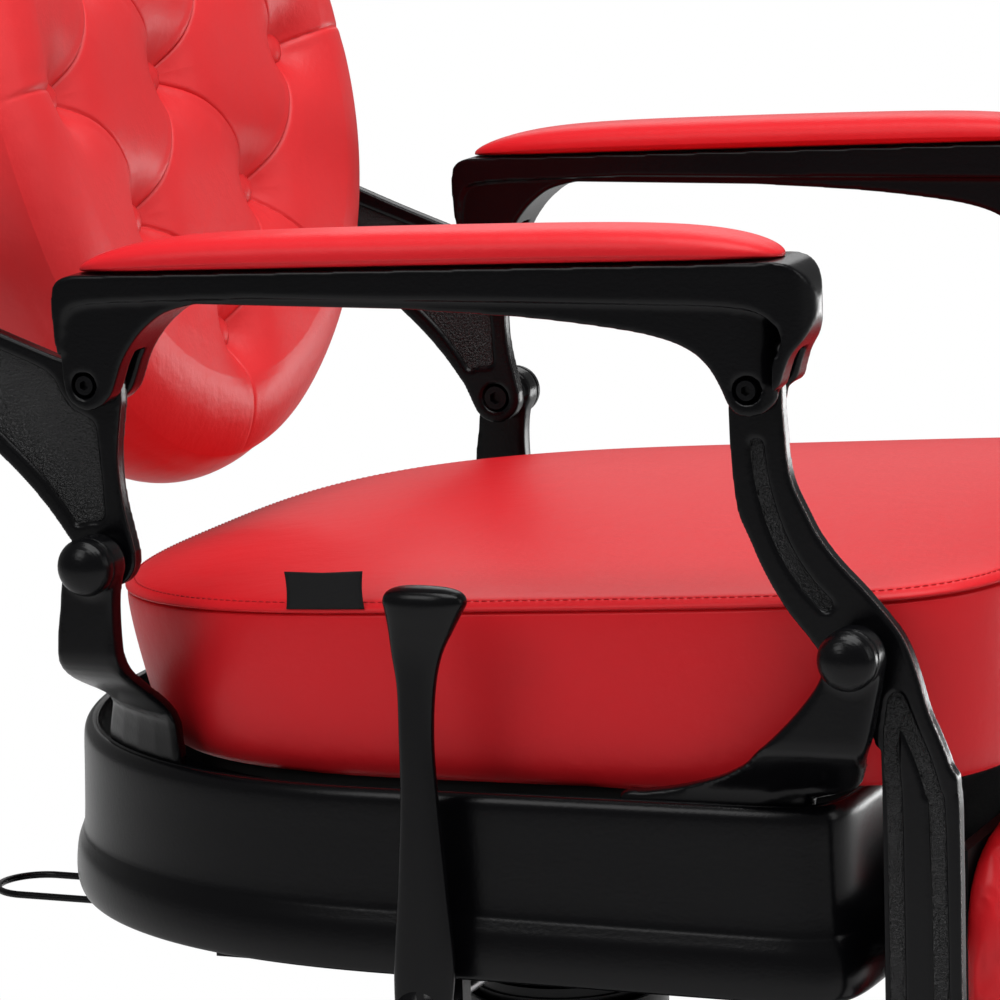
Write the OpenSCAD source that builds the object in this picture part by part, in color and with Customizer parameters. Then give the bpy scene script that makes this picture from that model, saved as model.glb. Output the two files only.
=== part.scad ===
// Hydraulic barber chair with a round tufted back, cast arms and a coupled leg rest.
// Millimetres, +Z up. The origin is on the floor, on the column's axis.
// The chair faces -Y; the sitter's right-hand side is -X.

/* [Layout] */
// Distance between the middles of the two arms
arm_span = 600; // [580:1:620]
// Height of the side frames' datum line with the chair at its lowest
datum_h = 560; // [550:1:600]
// Side frames' datum behind the column's axis
datum_back = 150; // [140:1:160]
// Rear pivots behind the datum
pivot_y = 6; // [3:1:9]
// Rear pivots below the datum
pivot_z = 3.5; // [0:0.5:6]
// Front pivots ahead of the rear ones
pivot_run = 460; // [454:1:466]
// Front pivots below the rear ones
pivot_drop = 32.7; // [28:0.1:36]
// Arm's rear pin behind the datum
rear_pin_y = 8.5; // [2:0.5:12]
// Arm's rear pin above the datum
rear_pin_z = 100.3; // [95:0.1:110]
// Arm's front pin ahead of the datum
front_pin_y = 394.5; // [390:0.5:404]
// Arm's front pin above the datum
front_pin_z = 108.6; // [104:0.1:114]

/* [Linkage] */
// Thickness of the back brackets and front links
link_t = 11.5; // [10.5:0.5:14]
// Gap between a link and the cheeks beside it
cheek_gap = 0.5; // [0.3:0.1:1]
// Length of a pivot boss outside its link
boss_l = 26; // [22:1:30]
// Radius of the pivot bosses
boss_r = 17.3; // [15:0.1:20]
// Radius of the domed pivot caps
cap_r = 17.1; // [15:0.1:20]
// Height of the domed pivot caps
cap_h = 14; // [11:0.5:18]
// Radius of the links' and brackets' knuckles round the pivots
knuckle_r = 17.3; // [16:0.1:19]
// Thickness of a side post below its boss
side_post_t = 15; // [13:0.5:18]
// Radius of the pivot bolts
pivot_bolt_r = 6; // [5:0.5:7]
// Radius of the pivot bolts' heads
pivot_head_r = 8; // [7.5:0.1:9]
// Radius of the arm bolts
arm_bolt_r = 4.2; // [3.5:0.1:5]
// Radius of the arm bolts' heads
arm_head_r = 5.6; // [5.2:0.1:6.4]
// Radius of the counterbores round the arm bolts' heads
counterbore_r = 7.8; // [7.2:0.1:9]
// Play between a turning pin and its bore
play = 0.05; // [0.02:0.01:0.09]
// Play in the front links' upper eyes, where the linkage closes
eye_play = 0.75; // [0.7:0.05:1.2]
// Width of the front links' shanks
shank_w = 44; // [40:1:50]
// Length of the front links below their pivots
shank_l = 335; // [320:1:350]

/* [Arms] */
// Thickness of an arm's upper band
arm_band_t = 49; // [47:1:56]
// Depth of the recess below the band on each side
web_inset = 3; // [1:0.5:4]
// Width of an arm pad
pad_w = 57; // [50:1:64]
// Height of an arm pad at its middle
pad_h = 20.5; // [18:0.5:28]

/* [Seat frame] */
// Skirt's width beyond the distance between the arms
skirt_over = 12; // [8:1:16]
// Depth from the datum back to the skirt's rear
skirt_rear = 133; // [128:1:138]
// Depth from the datum forward to the skirt's front
skirt_front = 438; // [432:1:442]
// Skirt's rim below the datum
skirt_drop = 132; // [126:1:136]
// Height of the skirt
skirt_h = 108; // [104:1:112]
// Thickness of the skirt's wall
skirt_wall = 9; // [7:0.5:11]
// Thickness of the seat board
board_t = 15; // [12:1:18]
// Side of the square mounting plate
plate_side = 330; // [310:1:345]
// Thickness of the mounting plate
plate_t = 12; // [10:1:14]
// Mounting plate's top below the skirt
plate_drop = 28; // [27:0.5:30]
// Distance between the middles of the two mounting rails
rail_gap = 230; // [210:1:250]
// Thickness of a mounting rail
rail_t = 12; // [10:1:16]

/* [Seat cushion] */
// Gap between the seat cushion's seam and the front links
seat_side_gap = 14; // [12:0.5:18]
// Seat cushion's rear edge behind the datum
seat_rear = 84; // [78:1:90]
// Seat cushion's front edge ahead of the datum
seat_front = 516; // [505:1:525]
// Seat cushion's side from its board up to the seam, at the datum
seat_side = 94; // [86:1:100]
// Rise of the seam towards the front for each millimetre forward
seam_rise = 0.058; // [0.03:0.002:0.07]
// Crown of the seat above its seam
seat_crown = 7.5; // [5:0.5:20]

/* [Back] */
// Recline of the back when upright, in degrees
back_lean = 14.4; // [12:0.2:17]
// Width of the round back cushion
back_w = 514; // [500:1:530]
// Height of the round back cushion
back_h = 510; // [496:1:524]
// Middle of the back cushion above the datum, along the back
back_mid = 254; // [248:1:260]
// Button plane behind the datum at its height
back_set = 55; // [50:1:60]
// Thickness of the back cushion behind its buttons
back_depth = 60; // [54:1:66]
// Height of the pillows between the buttons
pillow_h = 22; // [14:1:28]
// Forward curl of the back's sides, at its widest
back_curl = 28; // [18:1:34]
// Half the distance between neighbouring buttons across the back
button_dx = 82; // [76:1:86]
// Distance between rows of buttons
button_dz = 84; // [78:1:86]
// Radius of a button
button_r = 10; // [8:0.5:12]
// Thickness of the back board
back_board_t = 12; // [10:1:15]
// Thickness of the rear cover
back_cover_t = 12; // [8:1:16]
// Height of the strap across the back
strap_h = 36; // [30:1:40]
// Thickness of the strap across the back
strap_t = 8; // [6:1:10]

/* [Headrest] */
// Width of the headrest pad
head_w = 270; // [240:1:300]
// Height of the headrest pad
head_h = 130; // [110:1:150]
// Thickness of the headrest pad
head_t = 66; // [56:1:80]
// Width of the headrest's flat post
post_w = 32; // [26:1:40]
// Thickness of the headrest's flat post
post_t = 9; // [7:0.5:11]

/* [Leg rest] */
// Width of the calf pad
calf_w = 410; // [380:1:440]
// Height of the calf pad
calf_h = 182; // [160:1:190]
// Thickness of the calf pad
calf_t = 34; // [26:1:36]
// Radius of the tube between the front links' lower ends
foot_tube_r = 11; // [9:0.5:13]
// Width of the footplate
foot_w = 330; // [300:1:380]
// Length of the footplate
foot_l = 178; // [150:1:190]
// Thickness of the footplate
foot_t = 10; // [8:1:14]

/* [Recline lock] */
// Height of the side lever above its shaft
lever_h = 250; // [235:1:262]
// Width of the side lever's head
lever_head_w = 50; // [44:1:56]
// Width of the side lever's neck
lever_neck_w = 21; // [17:1:25]
// Thickness of the side lever's head
lever_t = 22; // [18:1:24]
// Radius of the release shaft
shaft_r = 6; // [5:0.5:6.5]
// Radius of the lock cylinder
lock_r = 14; // [13:0.5:14.5]
// Radius of the lock rod
lock_rod_r = 6; // [5:0.5:7]
// Stroke of the lock rod as the back goes from upright to fully reclined
lock_stroke = 56; // [56:1:58]

/* [Base] */
// Radius of the round base
base_r = 305; // [280:1:330]
// Thickness of the base plate
base_t = 8; // [6:1:10]
// Thickness of the base at its edge
base_edge = 14; // [12:1:20]
// Height of the base's dome
base_dome = 40; // [36:1:48]
// Radius of the pump housing
pump_r = 58; // [54:1:62]
// Height of the pump housing
pump_h = 236; // [225:1:240]
// Radius of the lift ram
ram_r = 38; // [34:1:42]
// Outer radius of the column cover at its top
cover_r = 66; // [64:1:74]
// Outer radius of the column cover at its foot
cover_foot_r = 140; // [125:1:160]
// Length of the foot pedal from the column's axis
pedal_l = 330; // [310:1:350]
// Height of the foot pedal's axle
pedal_h = 92; // [86:1:100]
// Diameter of the rear pull loop's rod
loop_d = 4.6; // [4:0.2:6]
// Distance between the loop's two runs
loop_w = 54; // [46:1:70]
// Loop's end behind the column's axis
loop_reach = 400; // [380:1:430]

/* [Hidden] */

$fn = 48;
eps = 0.01;
seat_gap = 0.3;      // soft solids and curved faces stay this far from their neighbours
black = [0.05, 0.05, 0.055];
steel = [0.62, 0.63, 0.65];
red = [0.80, 0.10, 0.12];
rubber = [0.03, 0.03, 0.03];
wood = [0.72, 0.57, 0.38];

// Places in the side plane, as [y, z] from the datum
rear_pivot = [pivot_y, -pivot_z];
front_pivot = rear_pivot - [pivot_run, pivot_drop];
arm_rear_pin = [rear_pin_y, rear_pin_z];
arm_front_pin = [-front_pin_y, front_pin_z];

// Stations along X on the left side
link_x0 = arm_span / 2 - link_t / 2;
link_x1 = arm_span / 2 + link_t / 2;
boss_x0 = link_x1 + cheek_gap;
boss_x1 = boss_x0 + boss_l;
post_x1 = boss_x1 - 3;
web_t = arm_band_t - 2 * web_inset;
skirt_w = arm_span + skirt_over;
seat_w = arm_span - link_t - 2 * seat_side_gap;

// Heights below the datum
skirt_top = -skirt_drop;
skirt_bottom = skirt_top - skirt_h;
plate_top = skirt_bottom - plate_drop;
plate_bottom = plate_top - plate_t;
plan_y = -165;
rim_fall = 0.012;     // the skirt's rim falls to the rear
function rim_z(y) = skirt_top - rim_fall * (y - plan_y);
board_top = rim_z(-skirt_front) + seat_gap;   // clears the rim where the seat overhangs it
board_bottom = board_top - board_t;
bar_t = 8;
rail_top = board_bottom - bar_t;

// The skirt's and the cushion's outlines are two half superellipses that meet on this line
skirt_n = 2.3;
skirt_front_n = 20;
seat_plan_y = -200;
seat_n = 3.1;
seat_front_n = 6;

lever_y = -193;
lock_z = plate_top + 15.3;
shaft_z = plate_top + 12;
loop_z = plate_bottom - 10;

// The lock rod pulls on a lug below the front pivots, which swings evenly about the vertical
legrest_swing = 14.8;
lug_r = lock_stroke / 2 / sin(legrest_swing / 2);
lug_pin = front_pivot + [lug_r * sin(legrest_swing / 2), -lug_r * cos(legrest_swing / 2)];
lug_pin_r = 3;

// --- helpers -------------------------------------------------------------------------

module at_datum() translate([0, datum_back, datum_h]) children();

// Left-hand side pieces are drawn at +X; the right-hand ones are their mirror images
module right_side() mirror([1, 0, 0]) children();

// A flat piece lying in the side plane: outline in [y, z], from x0 to x1
module side_plate(outline, x0, x1)
  translate([x0, 0, 0]) rotate([90, 0, 90]) linear_extrude(x1 - x0) polygon(outline);

module rod_x(r, x0, x1, at, fn = 48)
  translate([x0, at[0], at[1]]) rotate([0, 90, 0]) cylinder(r = r, h = x1 - x0, $fn = fn);

function arc(c, r, a0, a1, n) =
  [for (i = [0:n]) let (a = a0 + (a1 - a0) * i / n) c + r * [cos(a), sin(a)]];

function knot(p, i) = p[min(max(i, 0), len(p) - 1)];

function curve_point(a, b, c, d, t) =
  0.5 * (2 * b + (c - a) * t + (2 * a - 5 * b + 4 * c - d) * t * t
         + (3 * b - a - 3 * c + d) * t * t * t);

// A smooth curve through the points p, with n steps between neighbours
function smooth(p, n = 4) = concat(
  [for (i = [0:len(p) - 2]) for (k = [0:n - 1])
    curve_point(knot(p, i - 1), p[i], p[i + 1], knot(p, i + 2), k / n)],
  [p[len(p) - 1]]);

function shift(p, v) = [for (q = p) q + v];

function ramp(t) = let (u = min(max(t, 0), 1)) u * u * (3 - 2 * u);

function spow(v, e) = sign(v) * pow(abs(v), e);

// One point of a D-shaped outline: half width w, rear and front depths from the line y = mid
function d_point(a, w, rear, front, n, front_n) =
  let (m = sin(a) >= 0 ? n : front_n)
  [w * spow(cos(a), 2 / m), (sin(a) >= 0 ? rear : front) * spow(sin(a), 2 / m)];

// The skirt's outline moved in by inset
function skirt_plan(inset, n) = [for (i = [0:n - 1])
  d_point(360 * i / n, skirt_w / 2 - inset, skirt_rear - plan_y - inset,
          skirt_front + plan_y - inset, skirt_n, skirt_front_n) + [0, plan_y]];

// Half width of the skirt's outline at y, moved in by inset
function skirt_half(y, inset) = let (
    n = y > plan_y ? skirt_n : skirt_front_n,
    depth = (y > plan_y ? skirt_rear - plan_y : skirt_front + plan_y) - inset,
    u = min(abs(y - plan_y) / depth, 1))
  (skirt_w / 2 - inset) * pow(1 - pow(u, n), 1 / n);

// The seat's outline moved in by inset, and by draw more at the rear
function seat_plan(inset, n, draw = 0) = [for (i = [0:n - 1])
  d_point(360 * i / n, seat_w / 2 - inset, seat_rear - seat_plan_y - inset - draw,
          seat_front + seat_plan_y - inset, seat_n, seat_front_n) + [0, seat_plan_y]];

// Closed skin over rings of equal length; the first and last ring are capped, or joined
module skin(rings, joined = false) {
  n = len(rings[0]);
  m = len(rings);
  last = joined ? m - 1 : m - 2;
  sides = [for (j = [0:last]) for (i = [0:n - 1]) let (
      a = j * n + i, b = j * n + (i + 1) % n,
      c = ((j + 1) % m) * n + (i + 1) % n, d = ((j + 1) % m) * n + i)
    each [[a, c, b], [a, d, c]]];
  caps = joined ? [] : concat(
    [for (i = [1:n - 2]) [0, i, i + 1]],
    [for (i = [1:n - 2]) [(m - 1) * n, (m - 1) * n + i + 1, (m - 1) * n + i]]);
  polyhedron(points = [for (r = rings) each r], faces = concat(sides, caps), convexity = 6);
}

module hex_socket(r, depth) cylinder(r = r, h = depth, $fn = 6);

// --- base ----------------------------------------------------------------------------

module base_plate() color(black) cylinder(r = base_r, h = base_t, $fn = 96);

// Spun cover over the plate, from its edge up to the foot of the column
dome_r = 150;
base_sheet = 2.5;
function base_side(t) = concat(
  [[base_r - 1 - t, base_edge - 5]],
  arc([base_r - 6 - t, base_edge - 5], 5 - t / 2, 0, 80, 5),
  smooth([[base_r - 25, base_edge + 3 - t], [base_r - 80, base_edge + 14 - t],
          [dome_r, base_dome - t]], 5));
module base_cover() color(black) rotate_extrude($fn = 96) polygon(concat(
  [[base_r - 1, base_t]], base_side(0),
  [[pump_flange_r + 6, base_dome], [pump_flange_r + 6, base_dome - base_sheet]],
  [for (i = [len(base_side(0)) - 1:-1:0]) base_side(base_sheet)[i]],
  [[base_r - 1 - base_sheet, base_t]]));

trim_t = 5;
module base_trim() color(rubber) rotate_extrude($fn = 96) polygon([
  [base_r + play, 0], [base_r + trim_t, 0], [base_r + trim_t, base_edge - 5],
  [base_r + trim_t - 2, base_edge - 3], [base_r + play, base_edge - 3]]);

axle_r = 7;
axle_y = 34;
pedal_slot_w = 30;
lug_t = 10;
pump_flange_r = pump_r + 22;
module pump_housing() color(black) difference() {
  union() {
    translate([0, 0, base_t]) cylinder(r = pump_r, h = pump_h - base_t);
    translate([0, 0, base_t]) cylinder(r = pump_flange_r, h = 12);
    for (s = [-1, 1]) translate([s * (pedal_slot_w + lug_t) / 2 - lug_t / 2, pump_r - 15, base_dome + 12])
      cube([lug_t, 15 + axle_y, pedal_h - base_dome]);
  }
  translate([0, 0, base_t + 8]) cylinder(r = ram_r + play, h = pump_h);
  translate([-pedal_slot_w, pump_r + axle_y / 2, pedal_h]) rotate([0, 90, 0])
    cylinder(r = axle_r + play, h = 2 * pedal_slot_w);
  column_bolt_places() translate([0, 0, base_t - 1]) cylinder(r = column_bolt_r + play, h = 20);
}

column_bolt_r = 5;
module column_bolt_places()
  for (a = [45:90:315]) rotate([0, 0, a]) translate([pump_r + 12, 0, 0]) children();

module column_bolts() color(steel) column_bolt_places()
  translate([0, 0, base_t + 2]) difference() {
    union() {
      cylinder(r = column_bolt_r, h = 10);
      translate([0, 0, 10]) cylinder(r = 8, h = 7);
    }
    translate([0, 0, 13]) hex_socket(4, 5);
  }

module pump_gland() color(black) difference() {
  union() {
    translate([0, 0, pump_h]) cylinder(r = pump_r - 2, h = 6);
    translate([0, 0, pump_h + 6]) cylinder(r1 = pump_r - 2, r2 = ram_r + 7, h = 6);
  }
  translate([0, 0, pump_h - 1]) cylinder(r = ram_r + play, h = 14);
}

cover_wall = 3;
cover_top = pump_h - 4;
function cover_side(t) = smooth([
  [cover_foot_r - t, base_dome], [cover_foot_r - 26 - t, base_dome + 12],
  [cover_r + 22 - t, base_dome + 42], [cover_r + 5 - t, base_dome + 92],
  [cover_r - t, cover_top - 20]], 5);
module column_cover() color(black) difference() {
  rotate_extrude($fn = 96) polygon(concat(
    cover_side(0),
    [[cover_r, cover_top], [cover_r - cover_wall, cover_top]],
    [for (i = [len(cover_side(0)) - 1:-1:0]) cover_side(cover_wall)[i]]));
  translate([-pedal_slot_w / 2 - lug_t - 3, 0, base_dome - 1]) cube([pedal_slot_w + 2 * lug_t + 6, 200, 98]);
}

// Foot pedal: a forged lever on an axle behind the pump, with a rubber tread
pedal_axle_at = [pump_r + axle_y / 2, pedal_h];
pedal_tip_z = 104;
module foot_pedal() color(black) difference() {
  union() {
    rod_x(15, -11, 11, pedal_axle_at);
    side_plate([
      pedal_axle_at + [0, -9], pedal_axle_at + [40, 2],
      [pedal_l - 40, pedal_tip_z - 8], [pedal_l - 2, pedal_tip_z - 6],
      [pedal_l - 2, pedal_tip_z], [pedal_l - 54, pedal_tip_z],
      pedal_axle_at + [40, 19], pedal_axle_at + [0, 13]], -9, 9);
    translate([-48, pedal_l - 46, pedal_tip_z - 8]) cube([96, 42, 8]);
  }
  rod_x(axle_r + play, -20, 20, pedal_axle_at);
}

module pedal_pad() color(rubber) translate([0, 0, pedal_tip_z]) difference() {
  translate([-52, pedal_l - 50, 0]) cube([104, 50, 9]);
  for (y = [pedal_l - 42:9:pedal_l - 8]) translate([-60, y, 6]) cube([120, 3, 5]);
}

module pedal_axle() color(steel) rod_x(axle_r, -pedal_slot_w / 2 - 9, pedal_slot_w / 2 + 9, pedal_axle_at);

ram_top = datum_h + plate_bottom - 14;
spigot_r = 24;
module lift_ram() color(steel) {
  translate([0, 0, base_dome + 20]) cylinder(r = ram_r, h = ram_top - base_dome - 20);
  translate([0, 0, ram_top]) cylinder(r = spigot_r, h = 12);
}

// --- seat frame ----------------------------------------------------------------------

hub_flange_r = 84;
module swivel_hub() color(black) translate([0, 0, ram_top]) difference() {
  union() {
    cylinder(r = ram_r + 8, h = 8);
    translate([0, 0, 8]) cylinder(r = hub_flange_r, h = 6);
  }
  translate([0, 0, -eps]) cylinder(r = spigot_r + play, h = 12 + play);
}

mount_bolt_r = 5;
module mount_bolt_places()
  for (x = [-1, 1]) for (y = [-1, 1])
    translate([x * rail_gap / 2, y * plate_side / 2 * 0.8, 0]) children();

module mount_plate() color(black)
  translate([0, 0, datum_h + plate_bottom]) difference() {
    translate([-plate_side / 2, -plate_side / 2, 0]) cube([plate_side, plate_side, plate_t]);
    mount_bolt_places() translate([0, 0, -1]) cylinder(r = mount_bolt_r + play, h = plate_t + 2);
  }

module mount_bolts() color(steel) mount_bolt_places()
  translate([0, 0, datum_h + plate_bottom - 6]) difference() {
    union() {
      cylinder(r = 8, h = 6);
      cylinder(r = mount_bolt_r, h = plate_t + 16);
    }
    translate([0, 0, -1]) hex_socket(4, 5);
  }

module mount_rails() color(black) difference() {
  for (s = [-1, 1]) translate([s * rail_gap / 2 - rail_t / 2, 0, 0])
    rotate([90, 0, 90]) linear_extrude(rail_t) polygon([
      [-plate_side / 2, datum_h + plate_top], [plate_side / 2, datum_h + plate_top],
      [plate_side / 2 + 40, datum_h + rail_top - 30], [plate_side / 2 + 40, datum_h + rail_top],
      [-plate_side / 2 - 80, datum_h + rail_top], [-plate_side / 2 - 80, datum_h + rail_top - 30]]);
  mount_bolt_places() translate([0, 0, datum_h + plate_top - 1]) cylinder(r = mount_bolt_r + play, h = 12);
  at_datum() rod_x(shaft_r + play, -skirt_w / 2, 0, [lever_y, shaft_z]);
}

// Skirt wall: outset and height, up the outside and down the inside. The rim falls to the rear.
function skirt_profile(y) = let (w = skirt_wall, t = rim_z(y), b = skirt_bottom) [
  [-2, b], [-5.5, b + 2], [-7.5, b + 9], [-7.5, b + 18], [-6.2, b + 28], [-3.4, b + 36],
  [-1.8, b + 43], [-0.6, (t + b) / 2 + 20], [0, t - 12], [0.8, t - 5], [3, t - 1.2],
  [w / 2 + 1, t], [w - 0.6, t - 1.4], [w, t - 4.5], [w, (t + b) / 2], [w, b]];
skirt_sides = 72;
bar_w = 40;
module cross_bars() color(black) at_datum() translate([0, 0, rail_top]) intersection() {
  linear_extrude(bar_t) polygon(skirt_plan(skirt_wall + seat_gap, skirt_sides));
  for (y = [plan_y - 125, plan_y + 55]) translate([-skirt_w / 2, y, -1])
    cube([skirt_w, bar_w, bar_t + 2]);
}

module seat_skirt() color(black) at_datum()
  skin([for (i = [0:len(skirt_profile(0)) - 1])
        [for (q = skirt_plan(skirt_profile(0)[i][0], skirt_sides)) [q[0], q[1], skirt_profile(q[1])[i][1]]]],
       joined = true);

module seat_board() color(wood) at_datum() translate([0, 0, board_bottom])
  linear_extrude(board_t) polygon(skirt_plan(skirt_wall + 34, skirt_sides));

function seam_z(y) = board_top + seat_side - 0.3 - seam_rise * (y - tag_y);
seat_sides = 64;
function seat_ring(inset, lift, up, draw = 0) = [for (q = seat_plan(inset, seat_sides, draw))
  [q[0], q[1], up ? seam_z(q[1]) + lift
                 : board_top + seat_gap + lift * (seam_z(q[1]) - board_top - seat_gap)]];
module seat_cushion() color(red) at_datum() skin([
  seat_ring(16, 0, false, 20), seat_ring(8, 0.05, false, 17), seat_ring(6, 0.16, false, 14),
  seat_ring(4, 0.38, false, 9), seat_ring(2, 0.66, false, 4), seat_ring(0.6, 0.9, false, 1),
  seat_ring(0, 0, true), seat_ring(6, seat_crown * 0.5, true), seat_ring(26, seat_crown * 0.68, true),
  seat_ring(70, seat_crown * 0.86, true), seat_ring(140, seat_crown, true)]);

tag_l = 54;
tag_h = 24;
tag_t = 1.2;
tag_y = -118;
module side_tag() color(rubber) at_datum()
  translate([0, 0, seam_z(tag_y) - 1]) intersection() {
    translate([-seat_w, tag_y - tag_l / 2, 0]) cube([seat_w, tag_l, tag_h]);
    linear_extrude(tag_h) difference() {
      polygon(seat_plan(-seat_gap - tag_t, seat_sides));
      polygon(seat_plan(-seat_gap, seat_sides));
    }
  }

// Posts are plates below a boss outside the links, and bend in behind the skirt's rim.
// A section at height z runs from y0 to y1; bend is 0 at the boss and 1 inside the rim.
post_foot_t = 12;
function post_section(z, y0, y1, bend) =
  let (t = side_post_t + (post_foot_t - side_post_t) * bend, n = 4, c = 3,
       out = function (y) post_x1
         + (skirt_half(max(y, 20 - skirt_front), skirt_wall + seat_gap) - post_x1) * bend)
  concat(
    [[out(y0) - c, y0, z]],
    [for (i = [0:n]) let (y = y0 + c + (y1 - y0 - 2 * c) * i / n) [out(y), y, z]],
    [[out(y1) - c, y1, z], [out(y1) - t, y1, z]],
    [for (i = [n:-1:0]) let (y = y0 + c + (y1 - y0 - 2 * c) * i / n) [out(y) - t, y, z]],
    [[out(y0) - t, y0, z]]);

// A post hangs from its pivot; rows hold height, front and rear edge from the pivot.
// Its plate bends between the two heights in bend.
collar_l = 16;
module post(pivot, rows, bend) difference() {
  sections = smooth(rows, 2);
  union() {
    translate([0, 0, pivot[1]]) skin([for (i = [len(sections) - 1:-1:0]) let (s = sections[i])
      post_section(s[0], pivot[0] + s[1], pivot[0] + s[2],
                   ramp((s[0] - bend[0]) / (bend[1] - bend[0])))]);
    rod_x(boss_r - 4, boss_x0, boss_x1, pivot);
    rod_x(boss_r, boss_x1 - collar_l, boss_x1, pivot);
  }
  rod_x(pivot_bolt_r + play, link_x0, boss_x1 + 1, pivot);
}

rear_bend = [-53, -110];
rear_post_y = [[0, -16.5, 17], [-12, -14, 20.5], [-26, -12.5, 22], [-40, -12.5, 24.2],
               [-54, -13.5, 25.2], [-64, -14.5, 27.5], [-74, -15.5, 32], [-84, -16.5, 37.5],
               [-95, -17, 42.5], [-107, -18, 48], [-126, -20, 56], [-150, -21, 57]];
module rear_post_left() color(black) at_datum() post(rear_pivot, rear_post_y, rear_bend);
module rear_post_right() color(black) at_datum() right_side() post(rear_pivot, rear_post_y, rear_bend);

front_bend = [-50, -88];
front_post_y = [[0, -16.8, 17], [-12, -15.5, 18.5], [-24, -13, 26], [-37, -10.5, 37],
                [-49, -7.5, 49], [-57, -4, 58.5], [-65, -0.5, 67], [-72, 4, 78], [-78, 8, 90],
                [-83, 13, 105], [-87, 24, 121], [-89.5, 34, 138], [-92, 38, 150], [-122, 38.5, 153]];
module front_post_left() color(black) at_datum() post(front_pivot, front_post_y, front_bend);
module front_post_right() color(black) at_datum() right_side() post(front_pivot, front_post_y, front_bend);

head_depth = 6;
head_recess_r = pivot_head_r + 1.6;
module pivot_bolt(at) difference() {
  union() {
    rod_x(pivot_head_r, link_x0 + 0.4, link_x0 + head_depth, at);
    rod_x(pivot_bolt_r, link_x0 + head_depth, boss_x1 + 8, at);
  }
  translate([link_x0 + 0.3, at[0], at[1]]) rotate([0, 90, 0]) hex_socket(4.4, 4);
}
module four_pivots() for (s = [0, 1]) mirror([s, 0, 0]) {
  children(0);
  children(1);
}
module pivot_bolts() color(black) at_datum() four_pivots() {
  pivot_bolt(rear_pivot);
  pivot_bolt(front_pivot);
}

module pivot_cap(at) translate([boss_x1, at[0], at[1]]) rotate([0, 90, 0]) difference() {
  rotate_extrude($fn = 64) polygon(concat(
    [[0, 0]], [for (i = [0:12]) [cap_r * cos(7.5 * i), 1.5 * (i > 0 ? 1 : 0)
                                                       + (cap_h - 1.5) * sin(7.5 * i)]]));
  translate([0, 0, -1]) cylinder(r = pivot_bolt_r + play, h = 9.2);
}
module pivot_caps() color(black) at_datum() four_pivots() {
  pivot_cap(rear_pivot);
  pivot_cap(front_pivot);
}

// Lock cylinder under the seat: its rod holds the linkage in place
lock_front = -322;
lock_rear = -112;
lock_bore_r = lock_r - 4;
module rod_y(r, y0, y1, z) translate([0, y1, z]) rotate([90, 0, 0]) cylinder(r = r, h = y1 - y0);
module lock_cylinder() color(steel) at_datum() difference() {
  union() {
    rod_y(lock_r, lock_front, lock_rear, lock_z);
    translate([-13, lock_rear - 26, plate_top]) cube([26, 24, lock_z - plate_top]);
    translate([-13, -310, plate_top]) cube([26, 18, lock_z - plate_top]);
  }
  rod_y(lock_bore_r, lock_front + 12, lock_rear - 12, lock_z);
  rod_y(lock_rod_r + play, lock_front - 1, lock_front + 20, lock_z);
}

eye_w = 12;
module lock_rod() color(steel) at_datum() difference() {
  union() {
    rod_y(lock_rod_r, lug_pin[0] + 6, lock_front + 110, lock_z);
    rod_y(lock_bore_r - play, lock_front + 110, lock_front + 122, lock_z);
    translate([-eye_w / 2, lug_pin[0] - 8, lock_z - 12]) cube([eye_w, 17, 22]);
  }
  side_plate(concat(arc([lug_pin[0], lock_z + 4], lug_pin_r + 0.5, 180, 0, 10),
                    arc([lug_pin[0], lock_z - 4], lug_pin_r + 0.5, 0, -180, 10)), -eye_w, eye_w);
}

hanger_w = 24;
module shaft_hanger() color(black) at_datum() difference() {
  translate([-skirt_w / 2 + skirt_wall + play, lever_y - hanger_w / 2, shaft_z - 13])
    cube([12, hanger_w, skirt_h - 20 - shaft_z + skirt_bottom]);
  rod_x(shaft_r + play, -skirt_w / 2, 0, [lever_y, shaft_z]);
}

loop_root = 98;
module rear_pull_loop() color(black) translate([0, 0, datum_h + loop_z]) {
  for (s = [-1, 1]) translate([s * loop_w / 2, loop_root, 0]) rotate([-90, 0, 0])
    cylinder(r = loop_d / 2, h = loop_reach - loop_w / 2 - loop_root, $fn = 24);
  translate([0, loop_reach - loop_w / 2, 0]) rotate_extrude(angle = 180, $fn = 48)
    translate([loop_w / 2, 0]) circle(r = loop_d / 2, $fn = 24);
}

module loop_clamp() color(black) translate([0, 0, datum_h + loop_z]) difference() {
  translate([-loop_w / 2 - 10, loop_root + 4, -8]) cube([loop_w + 20, 26, 8 + plate_bottom - loop_z]);
  for (s = [-1, 1]) translate([s * loop_w / 2, loop_root, 0]) rotate([-90, 0, 0])
    cylinder(r = loop_d / 2 + play, h = 60, $fn = 24);
}

// --- recline release -----------------------------------------------------------------

lever_x = skirt_w / 2 + 24;
lever_hub_r = 15;
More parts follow.
